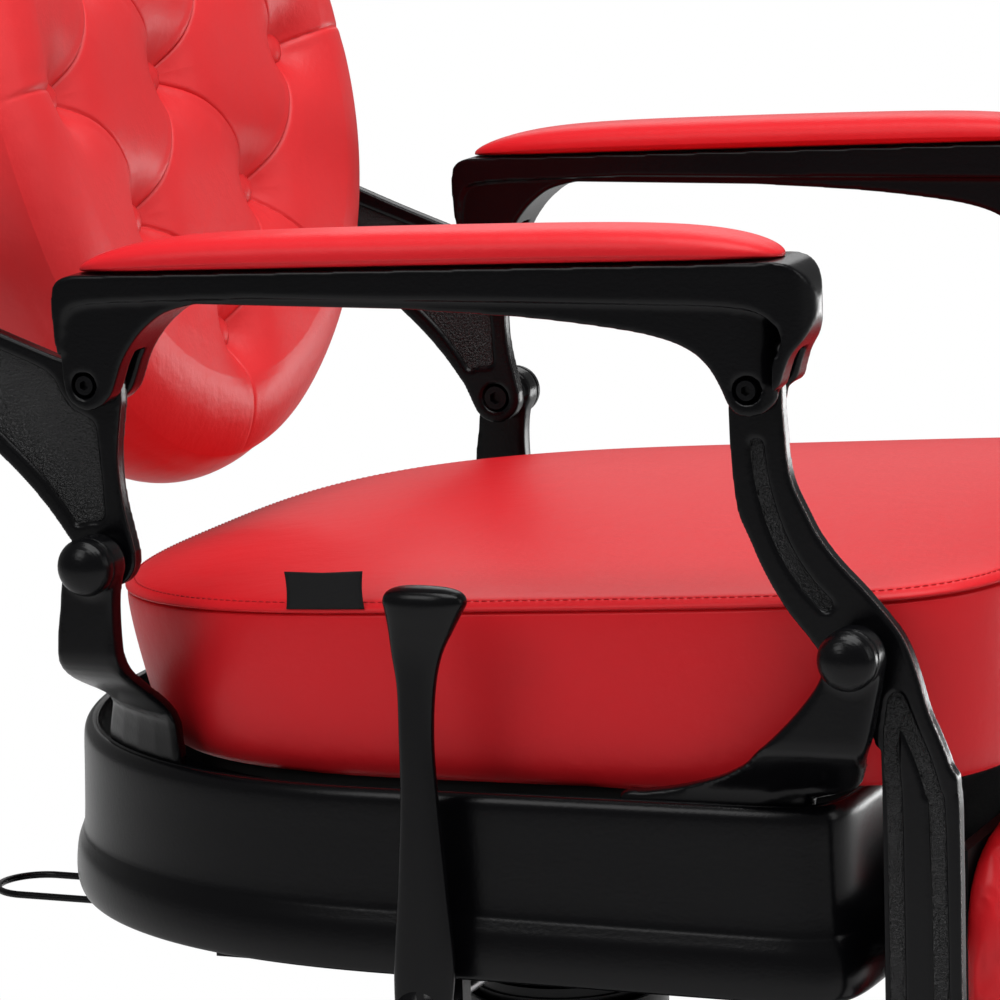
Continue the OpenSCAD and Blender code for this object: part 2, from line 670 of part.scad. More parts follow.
// Height above the shaft, width, thickness and middle along Y of the lever's sections
function lever_sections() = let (h = lever_h, w = lever_head_w, n = lever_neck_w, t = lever_t) [
  [0, n + 13, 12, -1], [h * 0.12, n + 16, 12, -3], [h * 0.3, n + 9, 11.5, -3.5],
  [h * 0.5, n + 2, 11, -3.5], [h * 0.64, n, 11, -3], [h * 0.76, n + 2, 11.5, -4],
  [h * 0.84, n + 9, 13, -5], [h * 0.9, n + 18, t * 0.78, -8], [h * 0.94, w * 0.92, t * 0.95, -10],
  [h * 0.965, w, t, -11], [h * 0.985, w * 0.9, t * 0.86, -11], [h * 0.996, w * 0.62, t * 0.5, -10.5],
  [h, w * 0.2, t * 0.15, -10]];
module recline_lever() color(black) at_datum() difference() {
  union() {
    translate([-lever_x, lever_y, shaft_z]) skin([for (s = lever_sections())
      [for (i = [0:23]) let (a = 15 * i)
        [s[2] / 2 * spow(cos(a), 0.8), s[3] + s[1] / 2 * spow(sin(a), 0.8), s[0]]]]);
    rod_x(lever_hub_r, -lever_x - 6, -lever_x + 6, [lever_y, shaft_z]);
  }
  rod_x(shaft_r + play, -lever_x - 10, -lever_x + 10, [lever_y, shaft_z]);
}

module release_shaft() color(steel) at_datum() {
  rod_x(shaft_r, -lever_x - 7, -lock_r - 12, [lever_y, shaft_z]);
  translate([-lock_r - 20, lever_y - 4, shaft_z]) cube([8, 8, 26]);
}

// --- leg rest ------------------------------------------------------------------------

foot_axle = front_pivot + [-75, -shank_l];
shank_y = -9 - shank_w / 2;

function link_rear_edge() = concat(
  shift([[16, -13], [15, -41], [12, -69]], arm_front_pin),
  shift([[65, 60], [59, 46], [52, 33], [43, 19], [32, 6], [17, -14], [2, -36],
         [shank_y + shank_w / 2 + 3, -54], [shank_y + shank_w / 2, -74],
         [shank_y + shank_w / 2, 70 - shank_l], [shank_y + shank_w / 2 - 12, 35 - shank_l]], front_pivot));
function link_front_edge() = concat(
  shift([[-96, 6 - shank_l], [-66, 36 - shank_l], [shank_y - shank_w / 2 - 8, 62 - shank_l],
         [shank_y - shank_w / 2, 100 - shank_l], [shank_y - shank_w / 2, -86],
         [-48, -63], [-42, -47], [-36, -33], [-32, -19], [-28, -6], [-22, 8], [-11, 22], [1, 35],
         [14, 48], [25, 62], [32, 75]], front_pivot),
  shift([[-20, -54], [-17, -40], [-16, -26], [-15, -12]], arm_front_pin));
module front_link() color(black) difference() {
  union() {
    side_plate(concat(smooth(link_rear_edge(), 3),
                      arc(foot_axle, 21, -10, -160, 8),
                      smooth(link_front_edge(), 3),
                      arc(arm_front_pin, 15, 180, 0, 10)), link_x0, link_x1);
    rod_x(knuckle_r, link_x0, link_x1, front_pivot);
  }
  rod_x(pivot_bolt_r + play, link_x0 - 1, link_x1 + 1, front_pivot);
  rod_x(head_recess_r, link_x0 - 1, link_x0 + head_depth + 0.3, front_pivot);
  rod_x(arm_bolt_r + eye_play, link_x0 - 1, link_x1 + 1, arm_front_pin);
  link_groove(smooth(shift([[0, -33], [-2.5, -53], [-8.5, -75], [-17, -94], [-28, -110],
                            [-38, -120]], arm_front_pin), 3), 4.4);
  link_groove(smooth(shift([[-17.5, -28], [-15, -44], [-14.5, -60], [-15.5, -80], [-16, -110],
                            [-16, 62 - shank_l]], front_pivot), 3), 4.8);
  link_groove(smooth(shift([[-18.5, -27], [-24, -40], [-32, -58], [-38, -78], [-40.5, -100],
                            [-41, 62 - shank_l]], front_pivot), 3), 4.8);
}
groove_depth = 3;
// A groove of half width r along the path p, with round ends
function normal(p, i) = let (d = knot(p, i + 1) - knot(p, i - 1)) [-d[1], d[0]] / norm(d);
function heading(p, i) = let (d = knot(p, i + 1) - knot(p, i - 1)) atan2(d[1], d[0]);
module link_groove(p, r) let (m = len(p) - 1)
  side_plate(concat(
    [for (i = [0:m]) p[i] + r * normal(p, i)],
    arc(p[m], r, heading(p, m) + 67, heading(p, m) - 67, 6),
    [for (i = [m:-1:0]) p[i] - r * normal(p, i)],
    arc(p[0], r, heading(p, 0) + 247, heading(p, 0) + 113, 6)),
    link_x1 - groove_depth, link_x1 + 1);
module front_link_left() at_datum() front_link();
module front_link_right() at_datum() right_side() front_link();

bar_y = front_pivot[0] - 6;
crossbar_drop = 153;
bar_top = front_pivot[1] - crossbar_drop;
bar_h = 40;
module legrest_crossbar() color(black) at_datum() {
  translate([-link_x0, bar_y - bar_t, bar_top - bar_h]) cube([2 * link_x0, bar_t, bar_h]);
  for (s = [-1, 1]) side_plate(concat(
      [[bar_y, bar_top - 8], [bar_y - bar_t, bar_top - 8], [bar_y - bar_t, lug_pin[1] - 7]],
      arc(lug_pin, 6.8, -90, 90, 8),
      [[bar_y + 8, lug_pin[1] + 6.8], [bar_y + 2, lug_pin[1] + 12]]),
    s * (eye_w / 2 + 4) - 3, s * (eye_w / 2 + 4) + 3);
  rod_x(lug_pin_r, -eye_w / 2 - 6, eye_w / 2 + 6, lug_pin, 24);
}

calf_top = bar_top + 25;
module calf_board() color(wood) at_datum()
  translate([-calf_w / 2 + 16, bar_y - 2 * bar_t, calf_top - calf_h + 12]) cube([calf_w - 32, bar_t, calf_h - 24]);

function pad_ring(w, h, inset, n) = [for (i = [0:n - 1])
  [(w / 2 - inset) * spow(cos(360 * i / n), 0.45), (h / 2 - inset) * spow(sin(360 * i / n), 0.45)]];
module calf_pad() color(red) at_datum()
  translate([0, bar_y - 2 * bar_t - seat_gap, calf_top - calf_h / 2]) rotate([90, 0, 0])
    skin([for (s = [[8, 0], [1, 0.12], [-1, 0.34], [2, 0.6], [10, 0.8], [26, 0.93], [50, 0.99], [75, 1]])
      [for (q = pad_ring(calf_w, calf_h, s[0], 48)) [q[0], q[1], s[1] * calf_t]]]);

module footrest_tube() color(black) at_datum()
  difference() {
    rod_x(foot_tube_r, -link_x0, link_x0, foot_axle);
    rod_x(foot_tube_r - 3, -link_x0 + 8, link_x0 - 8, foot_axle);
  }

foot_hinge_r = foot_tube_r + 6;
hinge_l = 56;
module footplate() color(black) at_datum() difference() {
  union() {
    translate([-foot_w / 2, foot_axle[0] - foot_l, foot_axle[1] - foot_t / 2])
      cube([foot_w, foot_l, foot_t]);
    for (s = [-1, 1]) rod_x(foot_hinge_r, s * (foot_w / 2 - 40) - 16, s * (foot_w / 2 - 40) + 16, foot_axle);
  }
  rod_x(foot_tube_r + play, -foot_w, foot_w, foot_axle);
  translate([-foot_w / 2 + hinge_l, foot_axle[0] - foot_hinge_r - 1, foot_axle[1] - foot_hinge_r - 1])
    cube([foot_w - 2 * hinge_l, 3 * foot_hinge_r, 2 * foot_hinge_r + 2]);
}

module footplate_treads() color(rubber) at_datum()
  for (y = [38:28:foot_l - 20])
    translate([-foot_w / 2 + 18, foot_axle[0] - y, foot_axle[1] + foot_t / 2])
      cube([foot_w - 36, 12, 3]);

// --- back ----------------------------------------------------------------------------

// In the back's own frame X is across, Y is behind the button plane and Z runs up the back
module in_back() at_datum() translate([0, back_set, 0]) rotate([-back_lean, 0, 0]) children();
function back_to_side(d, z) =
  [back_set + d * cos(back_lean) + z * sin(back_lean), z * cos(back_lean) - d * sin(back_lean)];

board_back = back_depth + back_board_t;
cover_back = board_back + back_cover_t;
strap_back = cover_back + strap_t;
strap_mid = 184;
strap_at = back_to_side(cover_back + strap_t / 2, strap_mid);

recess_depth = 2.5;
bracket_recess = [
  [17.5, 17], [10, 17.5], [6.6, 21], [6.6, 30], [7.4, 47], [8.6, 64], [10, 75], [15, 79.5],
  [24, 84], [30.5, 92], [36, 102], [47, 109], [78, 120.5], [110, 132], [142, 144.5], [164, 153],
  [170, 147], [163, 138], [142, 127], [122, 112], [102, 95], [68, 63.5], [49, 45.5], [34, 27],
  [27, 16.5], [23, 15], [17.5, 17]];
// Bracket outline: knuckles at the rear pivot and the arm's rear pin, and a wing to the back
module back_bracket() color(black) difference() {
  union() {
    side_plate(concat(
      arc(rear_pivot, knuckle_r, -20, -170, 10),
      smooth([rear_pivot + [-17, 4], [-8, 14], [-5, 27], [-3, 42], [-2.6, 56], [-4, 70],
              arm_rear_pin + [-15, -13]], 3),
      arc(arm_rear_pin, 15, 180, 40, 8),
      smooth([arm_rear_pin + [28.5, 14.7], [75, 129], [108, 142], [145, 156.5],
              strap_at + [-12, 19], strap_at + [2, 25], strap_at + [13, 20], strap_at + [17, 2],
              strap_at + [10, -19], strap_at + [-6, -29], strap_at + [-32, -34],
              [128, 104], [108, 88], [75, 57], [57, 40], [42, 23], [29, 5]], 3)), link_x0, link_x1);
  }
  rod_x(pivot_bolt_r + play, link_x0 - 1, link_x1 + 1, rear_pivot);
  rod_x(head_recess_r, link_x0 - 1, link_x0 + head_depth + 0.3, rear_pivot);
  rod_x(arm_bolt_r + play, link_x0 - 1, link_x1 + 1, arm_rear_pin);
  for (x = [link_x0 - 1, link_x1 - recess_depth])
    side_plate(smooth(bracket_recess, 3), x, x + recess_depth + 1);
}
module back_bracket_left() at_datum() back_bracket();
module back_bracket_right() at_datum() right_side() back_bracket();

tuft_u = function (x, z) (x / button_dx + (z - back_mid) / button_dz) / 2;
tuft_v = function (x, z) (x / button_dx - (z - back_mid) / button_dz) / 2;
function near_button(x, z) = let (
    u = round(tuft_u(x, z)), v = round(tuft_v(x, z)),
    bx = (u + v) * button_dx, bz = back_mid + (u - v) * button_dz)
  norm([x - bx, z - bz]);
function curl(x) = -back_curl * pow(x / (back_w / 2), 2);
function pillow(x, z, rho) = let (
    s = pow(abs(sin(180 * tuft_u(x, z)) * sin(180 * tuft_v(x, z))), 0.45),
    d = near_button(x, z))
  pillow_h * (0.68 * s + 0.32 * (1 - exp(-pow(d / 24, 2)))) * (1 - 0.25 * pow(rho, 4));
function back_point(rho, a) = [back_w / 2 * rho * cos(a), back_mid + back_h / 2 * rho * sin(a)];

back_sides = 56;
function back_front_ring(rho) = [for (i = [0:back_sides - 1])
  let (q = back_point(rho, 360 * i / back_sides))
  [q[0], curl(q[0]) - pillow(q[0], q[1], rho), q[1]]];
function back_side_ring(inset, depth) = [for (i = [0:back_sides - 1])
  let (q = back_point(1 - inset / (back_w / 2), 360 * i / back_sides), f = depth / back_depth)
  [q[0], curl(q[0]) * (1 - f) + depth, q[1]]];
module back_cushion() color(red) in_back() difference() {
  skin(concat(
    [back_side_ring(18, back_depth - seat_gap), back_side_ring(3, back_depth * 0.86),
     back_side_ring(0, back_depth * 0.6), back_side_ring(6, back_depth * 0.22)],
    [for (rho = [0.95, 0.88, 0.8, 0.72, 0.64, 0.56, 0.48, 0.4, 0.32, 0.24, 0.16, 0.08, 0.02])
      back_front_ring(rho)]));
  for (b = button_rows) translate([b[0] * button_dx, curl(b[0] * button_dx), back_mid + b[1] * button_dz])
    rotate([90, 0, 0]) cylinder(r = button_r + 1, h = 40, $fn = 12);
}

button_rows = [[0, 2], [-1, 1], [1, 1], [-2, 0], [0, 0], [2, 0], [-1, -1], [1, -1], [0, -2]];
module back_buttons() color(red) in_back() for (b = button_rows)
  translate([b[0] * button_dx, curl(b[0] * button_dx) - seat_gap, back_mid + b[1] * button_dz])
    rotate([90, 0, 0]) rotate_extrude($fn = 24) polygon(concat(
      [[0, 0], [button_r - 1, 0]], arc([0, 1.2 - button_r * 0.9], button_r * 1.5, 48, 90, 5)));

module back_outline(inset) polygon([for (i = [0:71])
  [(back_w / 2 - inset) * cos(5 * i), (back_h / 2 - inset) * sin(5 * i)]]);

module back_board() color(wood) in_back() translate([0, board_back, back_mid]) rotate([90, 0, 0])
  linear_extrude(back_board_t) back_outline(26);

module back_cover() color(black) in_back() translate([0, cover_back, back_mid]) rotate([90, 0, 0])
  linear_extrude(back_cover_t) back_outline(16);

module strap_bolt_places() for (x = [-200, -90, 90, 200])
  translate([x, strap_back, strap_mid]) rotate([90, 0, 0]) children();
strap_bolt_r = 4;
module back_strap() color(black) in_back() difference() {
  translate([-link_x0, cover_back, strap_mid - strap_h / 2]) cube([2 * link_x0, strap_t, strap_h]);
  strap_bolt_places() translate([0, 0, -1]) cylinder(r = strap_bolt_r + play, h = strap_t + 2);
}
module strap_bolts() color(steel) in_back() strap_bolt_places() difference() {
  union() {
    translate([0, 0, -5]) cylinder(r = 7, h = 5);
    cylinder(r = strap_bolt_r, h = strap_t);
  }
  translate([0, 0, -6]) hex_socket(3.4, 4);
}

// --- headrest ------------------------------------------------------------------------

guide_h = 92;
guide_top = back_mid + back_h / 2 - 30;
guide_w = post_w + 36;
guide_t = post_t + 20;
post_y = cover_back + guide_t / 2;
module headrest_guide() color(black) in_back() difference() {
  translate([-guide_w / 2, cover_back, guide_top - guide_h]) cube([guide_w, guide_t, guide_h]);
  translate([-post_w / 2 - play, post_y - post_t / 2 - play, guide_top - guide_h - 1])
    cube([post_w + 2 * play, post_t + 2 * play, guide_h + 2]);
  translate([0, cover_back + guide_t + 1, guide_top - guide_h / 2]) rotate([90, 0, 0])
    cylinder(r = knob_stem_r + play, h = guide_t / 2);
}

knob_stem_r = 5;
knob_r = 17;
module headrest_knob() color(black) in_back()
  translate([0, post_y + post_t / 2 + play, guide_top - guide_h / 2]) rotate([-90, 0, 0]) {
    cylinder(r = knob_stem_r, h = guide_t / 2);
    translate([0, 0, guide_t / 2 - post_t / 2 + 2]) difference() {
      cylinder(r = knob_r, h = 20);
      for (a = [0:60:300]) rotate([0, 0, a]) translate([knob_r + 3, 0, -1]) cylinder(r = 6, h = 30, $fn = 24);
    }
  }

head_mid = back_mid + back_h / 2 + 22 + head_h / 2;
head_axis_z = head_mid - 20;
module headrest_post() color(steel) in_back() {
  translate([-post_w / 2, post_y - post_t / 2, guide_top - guide_h - 40])
    cube([post_w, post_t, head_axis_z - guide_top + guide_h + 40 - 12]);
  for (s = [-1, 1]) translate([s * (post_w / 2 - 3) - 3, post_y - 8, head_axis_z - 16])
    cube([6, 16, 24]);
  rod_x(4, -post_w / 2, post_w / 2, [post_y, head_axis_z], 32);
}

head_lug_w = post_w - 14;
head_reach = 30;
module headrest_pad() color(red) in_back() difference() {
  union() {
    translate([0, post_y - head_reach, head_mid]) rotate([90, 0, 0])
      skin([for (s = [[16, 0], [4, 0.08], [0, 0.24], [-1, 0.45], [2, 0.66], [10, 0.83], [24, 0.94], [44, 1]])
        [for (q = pad_ring(head_w, head_h, s[0], 40)) [q[0], q[1], s[1] * head_t]]]);
    translate([-head_lug_w / 2, post_y - head_reach - 1, head_axis_z - 7])
      cube([head_lug_w, head_reach + 7, 14]);
  }
  rod_x(4 + play, -post_w, post_w, [post_y, head_axis_z], 32);
}

// --- arms ----------------------------------------------------------------------------

function band_outline() = concat(
  smooth(shift([[-17, 71.4], [-26, 69], [-33.5, 62], [-37, 51], [-37, 41], [-32.5, 29], [-25, 18],
                [-20, 3]], arm_front_pin), 4),
  smooth(shift([[-15.5, -1], [-16.5, 15], [-21, 27], [-19, 35.5], [-11, 42], [3, 46], [29.5, 47.4]],
               arm_front_pin), 4),
  smooth(shift([[-108.5, 53.7], [-22, 49.5], [2, 46.5], [9, 41], [11.6, 31], [12.6, 20], [14.6, 18]],
               arm_rear_pin), 3),
  smooth(shift([[16.4, 27], [17, 38], [17, 51], [14.5, 59.5], [7, 63.6], [-4, 64.6]], arm_rear_pin), 3));
function web_outline() = concat(
  smooth(shift([[16.6, 44], [16.6, 34], [16, 26], [14.3, 18], [13.4, 9], [13, 1], [11, -6.5], [6, -12],
                [-1, -14.5], [-9, -12.5], [-16.5, -6], [-20.5, 3], [-24.5, 13.5], [-31, 24], [-40, 34],
                [-53.5, 43.5], [-72.5, 48.7]], arm_rear_pin), 3),
  smooth(shift([[201.5, 40.4], [129.5, 37.4], [76.5, 32.4], [49.5, 27.8], [32.5, 21.6], [21.5, 12.5],
                [14.5, 1], [10.5, -8], [5, -13.2], [-1.5, -14.8], [-8, -13.3], [-13, -8.5], [-15.3, -1],
                [-16, 10]], arm_front_pin), 3),
  shift([[-21, 24], [-15.5, 49]], arm_front_pin),
  shift([[2.5, 59]], arm_rear_pin));

module arm_bolt_bore(at) {
  rod_x(arm_bolt_r + play, arm_span / 2 - arm_band_t, arm_span / 2 + arm_band_t, at);
  for (s = [-1, 1]) rod_x(counterbore_r, arm_span / 2 + s * (web_t / 2 - 3.5) - 4,
                          arm_span / 2 + s * (web_t / 2 - 3.5) + 4, at);
}
// A casting of thickness t whose front end is round in plan, with its tip at y = tip
module arm_casting(outline, t, tip) translate([arm_span / 2, 0, 0]) intersection() {
  side_plate(outline, -t / 2, t / 2);
  union() {
    translate([0, tip + t / 2, 0]) cylinder(r = t / 2, h = 300);
    translate([-t / 2, tip + t / 2, 0]) cube([t, 500, 300]);
  }
}
slot_t = link_t + 2 * cheek_gap;
module arm_frame() color(black) difference() {
  union() {
    arm_casting(band_outline(), arm_band_t, arm_front_pin[0] - 37.2);
    arm_casting(web_outline(), web_t, arm_front_pin[0] - 16.6);
  }
  translate([arm_span / 2 - slot_t / 2, arm_front_pin[0] - 60, arm_front_pin[1] - 40])
    cube([slot_t, 78.5, 62]);
  translate([arm_span / 2 - slot_t / 2, arm_rear_pin[0] - 27, arm_rear_pin[1] - 40])
    cube([slot_t, 60, 62]);
  arm_bolt_bore(arm_rear_pin);
  arm_bolt_bore(arm_front_pin);
}
module arm_frame_left() at_datum() arm_frame();
module arm_frame_right() at_datum() right_side() arm_frame();

// Arm pad: crowned, thinning over pad_taper at its ends, on the straight top of the arm
pad_sections = 14;
pad_taper = 18;
module arm_pad() color(red) {
  rear = arm_rear_pin + [7, 64.2];
  front = arm_front_pin + [-16.5, 71.4];
  run = front - rear;
  skin([for (j = [0:pad_sections]) let (
      f = (1 - cos(180 * j / pad_sections)) / 2,
      full = pow(1 - pow(abs(2 * f - 1), 12), 0.42), end_y = min(f, 1 - f) * norm(run),
      w = pad_w / 2 * max(0.16, full), h = pad_h * (1 - 0.82 * exp(-end_y / pad_taper)))
    [for (i = [0:15]) let (a = 22.5 * i)
      [arm_span / 2 + w * spow(cos(a), 0.7) * (sin(a) < -0.1 ? 0.93 : 1),
       rear[0] + run[0] * f,
       rear[1] + run[1] * f + seat_gap + h * (0.3 + (sin(a) < 0 ? 0.3 : 0.7) * spow(sin(a), 0.8))]]]);
}
module arm_pad_left() at_datum() arm_pad();
module arm_pad_right() at_datum() right_side() arm_pad();

module arm_bolt(at) difference() {
  union() {
    rod_x(arm_bolt_r, arm_span / 2 - web_t / 2 + 7, arm_span / 2 + web_t / 2 - 7, at);
    for (s = [-1, 1]) rod_x(arm_head_r, arm_span / 2 + s * (web_t / 2 - 4.3) - 3.2,
                            arm_span / 2 + s * (web_t / 2 - 4.3) + 3.2, at);
  }
  for (s = [-1, 1]) translate([arm_span / 2 + s * (web_t / 2 - 1.1), at[0], at[1]]) rotate([0, -90 * s, 0])
    hex_socket(2.9, 3.4);
}
module arm_bolts() color(black) {
  arm_bolt(arm_rear_pin);
  arm_bolt(arm_front_pin);
}
module arm_bolts_left() at_datum() arm_bolts();
module arm_bolts_right() at_datum() right_side() arm_bolts();

base_plate();
base_cover();
base_trim();
pump_housing();
column_cover();
column_bolts();
pump_gland();
foot_pedal();
pedal_pad();
pedal_axle();
lift_ram();
swivel_hub();
mount_plate();
mount_bolts();
mount_rails();
cross_bars();
seat_skirt();
seat_board();
seat_cushion();
side_tag();
rear_post_left();
rear_post_right();
front_post_left();
front_post_right();
pivot_bolts();
pivot_caps();
lock_cylinder();
shaft_hanger();
rear_pull_loop();
loop_clamp();
recline_lever();
release_shaft();
lock_rod();
front_link_left();
front_link_right();
legrest_crossbar();
calf_board();
calf_pad();
footrest_tube();
footplate();
footplate_treads();
back_bracket_left();
back_bracket_right();
back_cushion();
back_buttons();
back_board();
back_cover();
back_strap();
strap_bolts();
headrest_guide();
headrest_post();
headrest_pad();
headrest_knob();
arm_frame_left();
arm_frame_right();
arm_pad_left();
arm_pad_right();
arm_bolts_left();
arm_bolts_right();
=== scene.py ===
import math

import bpy
import numpy as np
from mathutils import Matrix, Vector


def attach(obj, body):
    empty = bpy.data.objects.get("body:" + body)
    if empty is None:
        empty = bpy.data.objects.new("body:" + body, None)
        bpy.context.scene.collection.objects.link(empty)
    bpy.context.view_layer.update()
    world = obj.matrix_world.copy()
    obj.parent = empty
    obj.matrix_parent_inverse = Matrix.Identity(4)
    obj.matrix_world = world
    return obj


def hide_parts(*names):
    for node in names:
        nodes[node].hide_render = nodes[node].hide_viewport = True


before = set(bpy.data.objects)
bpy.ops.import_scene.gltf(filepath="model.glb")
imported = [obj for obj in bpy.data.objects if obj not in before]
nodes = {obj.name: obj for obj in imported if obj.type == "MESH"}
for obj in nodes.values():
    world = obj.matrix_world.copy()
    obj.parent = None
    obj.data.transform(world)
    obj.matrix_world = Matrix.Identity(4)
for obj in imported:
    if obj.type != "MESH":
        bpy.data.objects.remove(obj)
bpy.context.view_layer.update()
scene = bpy.context.scene
scene.view_settings.view_transform = "Standard"

# --- studio ---------------------------------------------------------------------------
# A pale floor that runs out into a plain white sweep, large soft lamps overhead and at
# the sides, and a long lens at the height of the arms.

lens = bpy.data.cameras.new("long_lens")
lens.sensor_width = 36
lens.lens = 180.648
lens.clip_start, lens.clip_end = 0.1, 100
tripod = bpy.data.objects.new("long_lens", lens)
scene.collection.objects.link(tripod)
lens_right = Vector((0.3746, -0.9266, -0.0324))
lens_up = Vector((0.1737, 0.0359, 0.9841))
lens_ahead = Vector((0.9108, 0.3743, -0.1744))
stand = Matrix((lens_right, lens_up, -lens_ahead)).transposed().to_4x4()
stand.translation = (-2.8710, -1.1462, 1.0914)
tripod.matrix_world = stand
scene.camera = tripod


def soft_lamp(name, at, aim, width, height, watts):
    lamp = bpy.data.lights.new(name, "AREA")
    lamp.shape = "RECTANGLE"
    lamp.size, lamp.size_y, lamp.energy = width, height, watts
    stand = bpy.data.objects.new(name, lamp)
    scene.collection.objects.link(stand)
    stand.location = at
    stand.rotation_euler = (Vector(aim) - Vector(at)).to_track_quat("-Z", "Y").to_euler()


soft_lamp("overhead_box", (-0.5, -0.5, 3.0), (0, -0.1, 0.6), 2.1, 2.1, 81)
soft_lamp("side_box", (-2.2, 0.9, 2.2), (0, 0, 0.5), 1.0, 1.2, 17)
soft_lamp("front_box", (0.0, -3.1, 1.6), (0, 0, 0.6), 1.2, 1.8, 14)
soft_lamp("edge_box", (2.2, -1.25, 0.24), (0, -0.25, 0.5), 1.3, 0.42, 15)
soft_lamp("far_box", (2.6, 0.8, 2.2), (0, 0, 0.7), 1.6, 1.8, 12)


def wire(tree, out, socket):
    tree.links.new(out, socket)


world = bpy.data.worlds.new("white_sweep")
scene.world = world
world.use_nodes = True
tree = world.node_tree
tree.nodes.clear()
sky = tree.nodes.new("ShaderNodeBackground")
sky.inputs["Color"].default_value = (1, 1, 1, 1)
sky.inputs["Strength"].default_value = 0.22
seen = tree.nodes.new("ShaderNodeBackground")
seen.inputs["Color"].default_value = (1, 1, 1, 1)
seen.inputs["Strength"].default_value = 1.0
path = tree.nodes.new("ShaderNodeLightPath")
pick = tree.nodes.new("ShaderNodeMixShader")
end = tree.nodes.new("ShaderNodeOutputWorld")
wire(tree, path.outputs["Is Camera Ray"], pick.inputs[0])
wire(tree, sky.outputs[0], pick.inputs[1])
wire(tree, seen.outputs[0], pick.inputs[2])
wire(tree, pick.outputs[0], end.inputs["Surface"])

floor_mesh = bpy.data.meshes.new("studio_floor")
floor_mesh.from_pydata([(-9, -9, 0), (9, -9, 0), (9, 9, 0), (-9, 9, 0)], [], [(0, 1, 2, 3)])
studio_floor = bpy.data.objects.new("studio_floor", floor_mesh)
studio_floor.location.z = -0.0005
scene.collection.objects.link(studio_floor)
paint = bpy.data.materials.new("white_floor")
paint.use_nodes = True
tree = paint.node_tree
tree.nodes.clear()
matt = tree.nodes.new("ShaderNodeBsdfDiffuse")
matt.inputs["Color"].default_value = (0.86, 0.86, 0.86, 1)
glow = tree.nodes.new("ShaderNodeEmission")
glow.inputs["Strength"].default_value = 1.0
place = tree.nodes.new("ShaderNodeTexCoord")
reach = tree.nodes.new("ShaderNodeVectorMath")
reach.operation = "LENGTH"
wire(tree, place.outputs["Object"], reach.inputs[0])
fade = tree.nodes.new("ShaderNodeMapRange")
fade.inputs["From Min"].default_value = 0.45
fade.inputs["From Max"].default_value = 0.78
wire(tree, reach.outputs["Value"], fade.inputs["Value"])
path = tree.nodes.new("ShaderNodeLightPath")
both = tree.nodes.new("ShaderNodeMath")
both.operation = "MULTIPLY"
wire(tree, fade.outputs[0], both.inputs[0])
wire(tree, path.outputs["Is Camera Ray"], both.inputs[1])
pick = tree.nodes.new("ShaderNodeMixShader")
end = tree.nodes.new("ShaderNodeOutputMaterial")
wire(tree, both.outputs[0], pick.inputs[0])
wire(tree, matt.outputs[0], pick.inputs[1])
wire(tree, glow.outputs[0], pick.inputs[2])
wire(tree, pick.outputs[0], end.inputs["Surface"])
floor_mesh.materials.append(paint)

# --- castings -------------------------------------------------------------------------
# Arms, brackets, links, posts, skirt and lever are iron castings and pressed steel with a
# satin black stoved enamel. The sunk panels of the brackets and the grooves of the links
# keep the sand-cast grain under the enamel.

def finish(name, colour, roughness, metallic=0.0, gloss=0.5):
    made = bpy.data.materials.new(name)
    made.use_nodes = True
    shader = made.node_tree.nodes["Principled BSDF"]
    shader.inputs["Base Color"].default_value = (*colour, 1)
    shader.inputs["Roughness"].default_value = roughness
    shader.inputs["Metallic"].default_value = metallic
    shader.inputs["Specular IOR Level"].default_value = gloss
    return made, made.node_tree, shader


def object_place(tree):
    return tree.nodes.new("ShaderNodeTexCoord").outputs["Object"]


def speckle(tree, scale, detail=3.0, rough=0.55):
    grain = tree.nodes.new("ShaderNodeTexNoise")
    grain.inputs["Scale"].default_value = scale
    grain.inputs["Detail"].default_value = detail
    grain.inputs["Roughness"].default_value = rough
    wire(tree, object_place(tree), grain.inputs["Vector"])
    return grain.outputs["Fac"]


def relief(tree, height, depth, strength=1.0, under=None):
    bump = tree.nodes.new("ShaderNodeBump")
    bump.inputs["Distance"].default_value = depth
    bump.inputs["Strength"].default_value = strength
    wire(tree, height, bump.inputs["Height"])
    if under is not None:
        wire(tree, under, bump.inputs["Normal"])
    return bump.outputs["Normal"]


def between(tree, value, low, high, soft=0.0004):
    up = tree.nodes.new("ShaderNodeMapRange")
    up.inputs["From Min"].default_value = low
    up.inputs["From Max"].default_value = low + soft
    wire(tree, value, up.inputs["Value"])
    down = tree.nodes.new("ShaderNodeMapRange")
    down.inputs["From Min"].default_value = high - soft
    down.inputs["From Max"].default_value = high
    down.inputs["To Min"].default_value = 1
    down.inputs["To Max"].default_value = 0
    wire(tree, value, down.inputs["Value"])
    return times(tree, up.outputs[0], down.outputs[0])


def times(tree, a, b):
    both = tree.nodes.new("ShaderNodeMath")
    both.operation = "MULTIPLY"
    wire(tree, a, both.inputs[0])
    wire(tree, b, both.inputs[1])
    return both.outputs[0]


def axis_of(tree, axis):
    """The distance from the object's middle plane across one axis."""
    split = tree.nodes.new("ShaderNodeSeparateXYZ")
    wire(tree, object_place(tree), split.inputs[0])
    plain = tree.nodes.new("ShaderNodeMath")
    plain.operation = "ABSOLUTE"
    wire(tree, split.outputs[axis], plain.inputs[0])
    return plain.outputs[0]


enamel_gloss, grain_gloss = 0.17, 0.38


